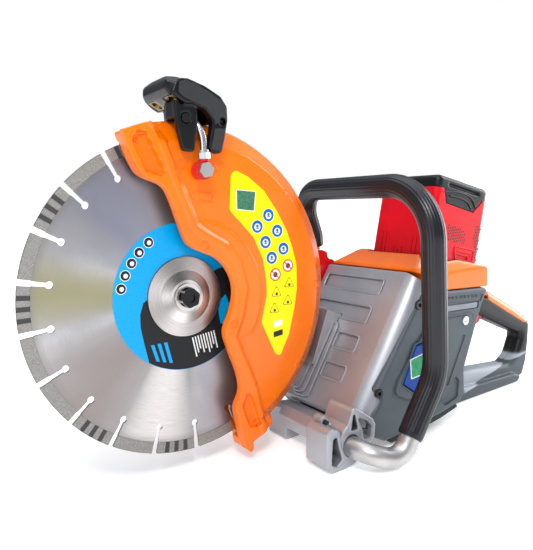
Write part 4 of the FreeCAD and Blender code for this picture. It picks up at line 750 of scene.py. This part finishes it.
def guard_mesh(outline):
    """Flat triangles inside the outline: rows along its edge, then an even grid."""
    loop = np.array(outline)
    along = np.roll(loop, -1, 0) - np.roll(loop, 1, 0)
    inward = np.stack([-along[:, 1], along[:, 0]], -1) / np.hypot(along[:, 0], along[:, 1])[:, None]
    rows = [loop + inward * gap for gap in EDGE_ROWS]
    gx, gz = np.meshgrid(np.arange(-60, 164, GRID_STEP), np.arange(-166, 164, GRID_STEP * 0.87))
    gx = gx + (np.arange(gx.shape[0]) % 2)[:, None] * GRID_STEP / 2
    cloud = np.concatenate(rows + [np.stack([gx.ravel(), gz.ravel()], -1)])
    gap, inside = edge_distance(cloud[:, 0], cloud[:, 1], outline)
    needed = np.where(np.arange(len(cloud)) < len(loop) * len(rows), 0.3, 2.3)
    cloud = np.concatenate([loop, cloud[inside & (gap > needed)]])
    count = len(loop)
    border = [(i, (i + 1) % count) for i in range(count)]
    flat = [Vector((float(px), float(pz))) for px, pz in cloud]
    found, _, faces, *_ = delaunay_2d_cdt(flat, border, [], 1, 1e-5)
    return np.array([v.x for v in found]), np.array([v.y for v in found]), faces


def fillet(gap, radius):
    """How far a rounded edge falls back at a distance from it."""
    return radius * (1 - np.sqrt(np.clip(1 - (1 - np.clip(gap / radius, 0, 1)) ** 2, 0, 1)))


def guard_skin():
    """The guard's left half as one pressed wall with a deep lip along its front edge."""
    front, rim = guard_outline()
    px, pz, faces = guard_mesh(front + rim)
    front_gap = edge_distance(px, pz, front, closed=False)[0]
    rim_gap = edge_distance(px, pz, rim, closed=False)[0]
    r = np.hypot(px, pz)
    py = guard_face(px, pz) + fillet(front_gap, 1.3) + guard_ends(px, pz) * fillet(rim_gap, 1.4)
    lip = smooth(front_gap, 3.4, 2.2)
    depth = 2.6 + 3.5 * lip + 9.0 * lip * smooth(pz, 106, 118) + 4.0 * lip * smooth(pz, -100, -130)
    shrink = 1 - 0.020 * smooth(r, 140, 160)
    floor_y = np.where(r < 153.5, -6.0, -3.0)
    inner_y = np.minimum(py + depth, floor_y)
    outside = np.stack([px, py, pz], -1)
    inner = np.stack([px * shrink, inner_y, pz * shrink], -1)
    n = len(px)
    edges = dict.fromkeys((a, b) for face in faces for a, b in zip(face, face[1:] + face[:1]))
    open_edges = [(a, b) for a, b in edges if (b, a) not in edges]
    walls = [tuple(face) for face in faces] + [tuple(v + n for v in reversed(face)) for face in faces]
    walls += [(b, a, a + n, b + n) for a, b in open_edges]
    finish = FINISH["guard"], "guard", "guard_orange"
    shells = [piece("guard_left_skin", np.vstack([outside, inner]), walls, *finish)]
    for name, outline in (("guard_head_wall", HEAD_BLOCK), ("guard_tip_wall", TIP_BLOCK)):
        shells.append(plate(name, rounded(outline, 2.0, 3), GUARD_Y + 1.5, -3.0, *finish))
    for shell in shells:
        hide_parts("guard_near_shell")


def bead(name, line, radius, material, body, slot, closed=True, flat=1.0, count=8, up=(0, -1, 0)):
    """A thin raised cord along a line of points, half sunk in the face under it."""
    points = [Vector(p) for p in line]
    total = len(points)
    vertices, faces = [], []
    for i, p in enumerate(points):
        after = points[(i + 1) % total] if closed else points[min(i + 1, total - 1)]
        before = points[i - 1] if closed else points[max(i - 1, 0)]
        side = (after - before).cross(Vector(up)).normalized()
        rise = side.cross(after - before).normalized()
        for k in range(count):
            a = math.tau * k / count
            vertices.append(p + side * radius * math.cos(a) + rise * radius * flat * math.sin(a))
    for i in range(total if closed else total - 1):
        j = (i + 1) % total
        for k in range(count):
            m = (k + 1) % count
            faces.append((i * count + k, i * count + m, j * count + m, j * count + k))
    if not closed:
        faces.append(tuple(reversed(range(count))))
        faces.append(tuple(range((total - 1) * count, total * count)))
    return piece(name, vertices, faces, material, body, slot)


def guard_marks():
    """Raised rings and the arrow for the blade's direction, moulded on the left half."""
    finish = FINISH["guard"], "guard", "guard_orange"
    for i, (cx, cz) in enumerate(CIRCLES):
        ring = np.array(circle(cx, cz, 3.7, 28))
        y = guard_face(ring[:, 0], ring[:, 1])
        bead(f"guard_ring_mark_{i}", zip(ring[:, 0], y, ring[:, 1]), 0.75, *finish)
    x, z = resample(ARROW + ARROW[:1], 1.0)
    y = guard_face(x, z)
    bead("guard_arrow", list(zip(x, y, z))[:-1], 0.8, *finish)


# ---------------------------------------------------------------- guard: printed sign plate

SIGN = [(52, 115), (47, 111), (43, 78), (54, 66), (68, 50), (77, 28), (79.5, 8), (79, -8), (71, -34),
        (85, -69), (91, -72), (103, -52), (111.5, -26), (116, -6), (117, 18), (113, 36), (107, 54), (97, 73),
        (83, 94), (66, 108)]
SIGN_STEP = 0.07            # from one printed layer to the next


def guard_sign():
    """Yellow sign plate with plain discs, rings, triangles and a blank panel in place of pictograms."""
    y = GUARD_Y - 0.22
    yellow = printed("sign_yellow", (0.95, 0.8, 0.0), 0.3)
    blue, red = printed("sign_blue", (0.0, 0.12, 0.5)), printed("sign_red", (0.7, 0.01, 0.01))
    white, ink = printed("sign_white", (0.85, 0.85, 0.83)), printed("sign_ink", (0.02, 0.02, 0.02))
    green = printed("sign_green", (0.05, 0.17, 0.1), drift=0.3)
    count = iter(range(100))

    def flat(outline, level, material):
        front = y - SIGN_STEP * level
        plate(f"sign_{next(count):02d}", outline, front, front + 0.12, material, "guard", "label_film")

    flat(rounded(SIGN, 7.0), 0, yellow)
    panel = [(51.6, 97.2), (73.4, 94.2), (70.2, 75.2), (50.6, 78.2)]
    flat(panel, 1, white)
    flat([(62 + (px - 62) * 0.93, 86.2 + (pz - 86.2) * 0.93) for px, pz in panel], 2, green)
    for x, z in ((86.2, 70.5), (72.6, 60.4), (95.6, 54.4), (81, 44.6), (101.9, 36), (87.2, 28.4)):
        flat(circle(x, z, 6.5), 1, white)
        flat(circle(x, z, 6.1), 2, blue)
        flat(circle(x, z - 0.4, 3.4), 3, white)
        flat(circle(x, z + 0.6, 1.5), 4, blue)
        flat([(x - 2.2, z - 2.0), (x + 2.2, z - 2.0), (x + 1.6, z - 1.1), (x - 1.6, z - 1.1)], 4, blue)
    for x, z in ((106.2, 18.4), (90.5, 11.2)):
        flat(circle(x, z, 6.4), 1, red)
        flat(circle(x, z, 5.1), 2, white)
        flat(circle(x, z, 2.6), 3, ink)
        bar = [(x - 4.2, z + 3.4), (x - 3.4, z + 4.2), (x + 4.2, z - 3.4), (x + 3.4, z - 4.2)]
        flat(bar, 4, red)
    for x, z in ((106.6, 0.1), (90.5, -7.1), (103.6, -17.4), (87.1, -23.2)):
        for level, reach, material in ((1, 7.4, ink), (2, 6.5, yellow)):
            turns = (0.1, 0.1 + 2.094, 0.1 + 4.189)
            corners = [(x + reach * math.sin(turn), z + reach * math.cos(turn)) for turn in turns]
            flat(rounded(corners, 1.6), level, material)
        flat(circle(x + 0.2, z - 1.2, 1.5), 3, ink)
    for x, z, w, h, material in ((90.5, -38.9, 5.0, 3.0, white), (89.9, -49, 5.6, 2.8, ink)):
        flat([(x - w, z - h), (x + w, z - h + 1), (x + w, z + h + 1), (x - w, z + h)], 1, material)


# ---------------------------------------------------------------- blade label

LABEL_Y = -1.72
LABEL_STEP = 0.06
LABEL_RADIUS = 69.6


def blade_label_art():
    """Dark crescent and a row of small plain discs on the cyan label, with plain bars for print."""
    ink = printed("label_ink", (0.012, 0.013, 0.015), 0.4)
    white = printed("label_white", (0.8, 0.8, 0.8))
    cyan = NODES["blade_label"].data.materials[0]

    def flat(name, outline, level, material):
        front = LABEL_Y - LABEL_STEP * level
        plate("label_" + name, outline, front, front + 0.04, material, "blade", "label_film")

    turns = np.radians(np.linspace(-126, 22, 60))
    rim = [(LABEL_RADIUS * math.cos(turn), LABEL_RADIUS * math.sin(turn)) for turn in turns]
    inner = [(36, 22), (20, 12), (-10, 10), (-33, 5), (-41.5, 0), (-45.5, -10), (-46.2, -22), (-44.3, -36)]
    flat("crescent", rim + inner, 0, ink)
    for i, (x, z) in enumerate(((-31.5, 54.3), (-41.3, 46.1), (-49.3, 37.2), (-56.2, 26.9), (-61, 15.6))):
        flat(f"ring_{i}", circle(x, z, 5.0), 0, white)
        flat(f"dot_{i}", circle(x, z, 4.4), 1, ink)
        flat(f"core_{i}", circle(x + 0.4, z - 0.3, 2.1), 2, white)
    for i in range(9):
        x, z = 4.0 + i * 2.9, -40.5 + i * 0.35
        length = 19.5 - (i * 7 % 5) * 1.6
        bar = [(x, z), (x + 1.3, z), (x + 1.3 + length * 0.16, z - length), (x + length * 0.16, z - length)]
        flat(f"bar_{i}", bar, 1, white)
    for i in range(3):
        x, drop = -38 + i * 6.5, i * 2
        block = [(x, -40), (x + 3.4, -40.4), (x + 7.5, -57 - drop), (x + 4.2, -56.4 - drop)]
        flat(f"block_{i}", block, 1, cyan)
    flat("tab", [(34, -12), (44, -4), (47, -14), (39, -33), (36, -32)], 1, cyan)


# ---------------------------------------------------------------- handlebar grip

TUBE_END = (116, -66, -149.5)
BAR_ROUTE = [TUBE_END, (116, -120, -151.5), (148.5, -128, -164.5), (200, -128, -91), (201, -128, 91.5),
             (201, 79, 91.5), (209, 67, 36), (209.5, 67, 1)]
BAR_BENDS = [21, 21, 55, 54, 30, 40]
GRIP_FROM, GRIP_TO = (162, -128, -145), (210, 67.6, 24)
GRIP_RADIUS = 12.15
GRIP_RIBS = 18
GROOVE_DEPTH = 0.34
GRIP_SIDES = 144
MOUTH_SHRINK = 10.1 / 11.4      # the sleeve's inner mouth against the rolled lip


def bar_line():
    """Points along the handlebar's centre line: straight runs joined by arcs."""
    route = [Vector(p) for p in BAR_ROUTE]
    line = [route[0]]
    for before, corner, after, radius in zip(route, route[1:], route[2:], BAR_BENDS):
        u, v = (before - corner).normalized(), (after - corner).normalized()
        half = u.angle(v) / 2
        reach = radius / math.tan(half)
        centre = corner + (u + v).normalized() * radius / math.sin(half)
        first = corner + u * reach
        axis = (first - centre).cross(corner + v * reach - centre).normalized()
        sweep = math.pi - 2 * half
        steps = max(int(sweep * radius / 2.5), 4)
        for k in range(steps + 1):
            line.append(centre + Matrix.Rotation(sweep * k / steps, 3, axis) @ (first - centre))
    line.append(route[-1])
    return line


def grip_line():
    """The part of the centre line that the sleeve covers, in short steps."""
    line = bar_line()
    first = min(range(len(line)), key=lambda i: (line[i] - Vector(GRIP_FROM)).length)
    route = [Vector(GRIP_FROM)] + line[first + 1:]
    last = min(range(len(route)), key=lambda i: (route[i] - Vector(GRIP_TO)).length)
    route = route[:last] + [Vector(GRIP_TO)]
    dense = [route[0]]
    for a, b in zip(route, route[1:]):
        parts = max(int((b - a).length / 3.0), 1)
        dense += [a.lerp(b, k / parts) for k in range(1, parts + 1)]
    return dense


def grip_sleeve():
    """Ribbed rubber sleeve: shallow grooves run along the bar, with a rolled lip at both ends."""
    dense = grip_line()
    count = GRIP_SIDES
    vertices, faces = [], []
    normal = Vector((0, -1, 0))
    run = 0.0
    total = sum((b - a).length for a, b in zip(dense, dense[1:]))
    for i, p in enumerate(dense):
        along = (dense[min(i + 1, len(dense) - 1)] - dense[max(i - 1, 0)]).normalized()
        normal = (normal - along * normal.dot(along)).normalized()
        across = along.cross(normal)
        if i:
            run += (p - dense[i - 1]).length
        lip = min(run, total - run)
        ribbed = float(smooth(lip, 3.0, 8.0))
        for k in range(count):
            a = math.tau * k / count
            groove = GROOVE_DEPTH * ribbed * float(smooth(math.cos(GRIP_RIBS * a), -0.5, -0.95))
            radius = GRIP_RADIUS - groove - (0.8 if lip < 0.1 else 0.0)
            vertices.append(p + normal * radius * math.cos(a) + across * radius * math.sin(a))
    rings = len(dense)
    for i in range(rings - 1):
        for k in range(count):
            a, b = i * count + k, i * count + (k + 1) % count
            faces.append((a, b, b + count, a + count))
    for ring, flip in ((0, True), (rings - 1, False)):
        start = len(vertices)
        centre = dense[ring]
        for k in range(count):
            vertices.append(centre + (vertices[ring * count + k] - centre) * MOUTH_SHRINK)
        for k in range(count):
            a, b = ring * count + k, ring * count + (k + 1) % count
            c, d = start + (k + 1) % count, start + k
            faces.append((b, a, d, c) if flip else (a, b, c, d))
    sleeve = piece("handlebar_sleeve", vertices, faces, FINISH["grip"], "saw_body", "grip_rubber")
    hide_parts("handlebar_grip")


# ---------------------------------------------------------------- moulded detail on the body and the battery

LEFT_Y = -92.0
BATTERY_Y = -78.0
COVER_FOOT = (128.4, -137.0)            # X and Z of the front cover's lower edge
COVER_LEAN = math.radians(33.5)


def on_cover(y, s, out=0.0):
    """A point on the front cover: y across, s up its slope, out above its face."""
    x, z = COVER_FOOT
    rise, run = math.cos(COVER_LEAN), math.sin(COVER_LEAN)
    return x + s * run - out * rise, y, z + s * rise + out * run


def cover_detail():
    """Rounded borders of the front cover's recesses, and the stepped boss beside the arm."""
    normal = (-math.cos(COVER_LEAN), 0, math.sin(COVER_LEAN))
    finish = FINISH["silver"], "saw_body", "silver_cover"
    frames = [[(-49, 137), (45, 137), (45, 155), (-49, 155)], [(-47, 103), (44, 103), (44, 122), (-47, 122)],
              [(-47, 69), (-12, 69), (-12, 88), (-47, 88)], [(-47, 35), (-12, 35), (-12, 53), (-47, 53)]]
    for i, frame_line in enumerate(frames):
        line = [on_cover(y, s, -0.1) for y, s in rounded(frame_line, 4.5, 6)]
        bead(f"cover_border_{i}", line, 1.1, *finish, up=normal)
    for i, (y0, rise) in enumerate(((-9.0, 2.5), (-3.0, 5.0), (4.0, 7.0))):
        low, high = 8 + 3 * i, 97 - 4 * i
        corner = rounded([(16, low), (y0, low), (y0, high), (16, high)], 8.0, 8)
        line = [on_cover(y, s, rise - 0.9) for y, s in corner if y < 15.9]
        bead(f"cover_ridge_{i}", line, 1.5, *finish, closed=False, up=normal)


def panel_detail():
    """Light strip and plain bars at the top of the left side, the badge's blank panel, and rims."""
    strip = moulded("strip_grey", (0.24, 0.26, 0.29), 0.4)
    dark = moulded("bar_grey", (0.02, 0.022, 0.026), 0.4)
    pale = printed("badge_white", (0.8, 0.82, 0.8))
    green = printed("badge_green", (0.02, 0.3, 0.12), drift=0.3)
    outline = rounded([(240, -37.2), (312.5, -41.8), (310.5, -47.6), (240, -43.4)], 1.2, 4)
    plate("panel_strip", outline, LEFT_Y + 0.5, LEFT_Y + 1.7, strip, "saw_body", "housing_grey")
    for i in range(8):
        x = 263 + 6.6 * i
        z = -28.2 - 0.7 * i
        end = x + 4.4 - i % 3
        bar = [(x, z), (end, z - 0.4), (end, z - 3.6), (x, z - 3.2)]
        plate(f"panel_bar_{i}", bar, LEFT_Y + 0.85, LEFT_Y + 1.1, dark, "saw_body", "housing_grey")
    face = LEFT_Y - 3.0
    blank = [(200, -84), (226, -80), (229, -103), (201, -105)]
    plate("badge_blank", rounded(blank, 1.5, 4), face - 0.1, face + 0.1, pale, "saw_body", "badge_blue")
    inner = [(213.8 + (x - 213.8) * 0.9, z + (-93 - z) * 0.1) for x, z in blank]
    plate("badge_field", rounded(inner, 1.5, 4), face - 0.16, face - 0.04, green, "saw_body", "badge_blue")
    badge = [(209, -70), (233, -67), (240, -82), (234, -107), (206, -122.5), (188, -108.5)]
    rim = [(x, LEFT_Y - 1.7, z) for x, z in rounded(badge, 4.0, 6)]
    bead("badge_rim", rim, 0.9, FINISH["housing"], "saw_body", "housing_grey")


def battery_detail():
    """Ribs on the cap's side, dot vents as dark discs of painted shade, and the rim of the latch."""
    for i, line in enumerate(([(277.3, 82), (293.4, 81.6), (321.2, 74.4), (328, 60)],
                              [(285.2, 77.1), (312.7, 71), (320.5, 60)])):
        x, z = resample(chaikin(line, 3), 1.5)
        rib = [(px, BATTERY_Y + 0.25, pz) for px, pz in zip(x, z)]
        bead(f"cap_rib_{i}", rib, 0.8, FINISH["black"], "battery", "battery_black", closed=False)
    lip = rounded([(290.8, 22), (323.2, 13.5), (319.6, 0.2), (291.4, 8)], 3.0, 5)
    bead("latch_rim", [(x, BATTERY_Y, z) for x, z in lip], 0.9, FINISH["battery"], "battery", "battery_red")
    # Painted shade: each vent hole is a flat dark red disc on the case's face.
    dark = moulded("vent_hole_shade", (0.1, 0.001, 0.003), 0.5)
    sides = 10
    vertices, faces = [], []
    patches = ([(280.4, 47), (309.2, 38), (309, 22), (280, 29)],
               [(329, 43.5), (337, 39.5), (326.5, -1), (321, 22)])
    xs, zs = np.meshgrid(np.arange(262, 350, 3.6), np.arange(-10, 60, 3.1))
    xs = xs + (np.arange(xs.shape[0]) % 2)[:, None] * 1.8
    for patch in patches:
        inside = edge_distance(xs, zs, patch)[1]
        for x, z in zip(xs[inside], zs[inside]):
            start = len(vertices)
            ring = circle(float(x), float(z), 1.3, sides)
            vertices += [(px, BATTERY_Y - 0.03, pz) for px, pz in ring]
            vertices += [(px, BATTERY_Y + 0.05, pz) for px, pz in ring]
            faces.append(tuple(range(start, start + sides)))
            for k in range(sides):
                here, after = start + k, start + (k + 1) % sides
                faces.append((here, here + sides, after + sides, after))
    piece("battery_vents", vertices, faces, dark, "battery", "battery_red", smooth=False)


# ---------------------------------------------------------------- softened CAD nodes

# Node, voxel in millimetres and rounds of smoothing.
SOFTENED = (("guard_handle", 0.7, 22), ("battery_cap", 0.8, 14), ("top_cover", 0.8, 16),
            ("handle_left", 0.9, 8), ("handle_right", 0.9, 8), ("front_foot", 0.8, 6),
            ("tube_clamp", 0.6, 5), ("trigger", 0.5, 5))


def soften(node, voxel, rounds):
    """Round a moulded node's edges: a fine remesh, relaxed by some rounds of smoothing."""
    made = NODES[node]
    weld = made.modifiers.new("weld", "WELD")
    weld.merge_threshold = 1e-5
    remesh = made.modifiers.new("remesh", "REMESH")
    remesh.mode = "VOXEL"
    remesh.voxel_size = voxel * MM
    remesh.use_smooth_shade = True
    relax = made.modifiers.new("relax", "SMOOTH")
    relax.factor = 0.5
    relax.iterations = rounds


make_camera()
make_studio()
FINISH = all_finishes()
guard_skin()
guard_sign()
blade_label_art()
grip_sleeve()
guard_marks()
cover_detail()
panel_detail()
battery_detail()
for node, voxel, rounds in SOFTENED:
    soften(node, voxel, rounds)
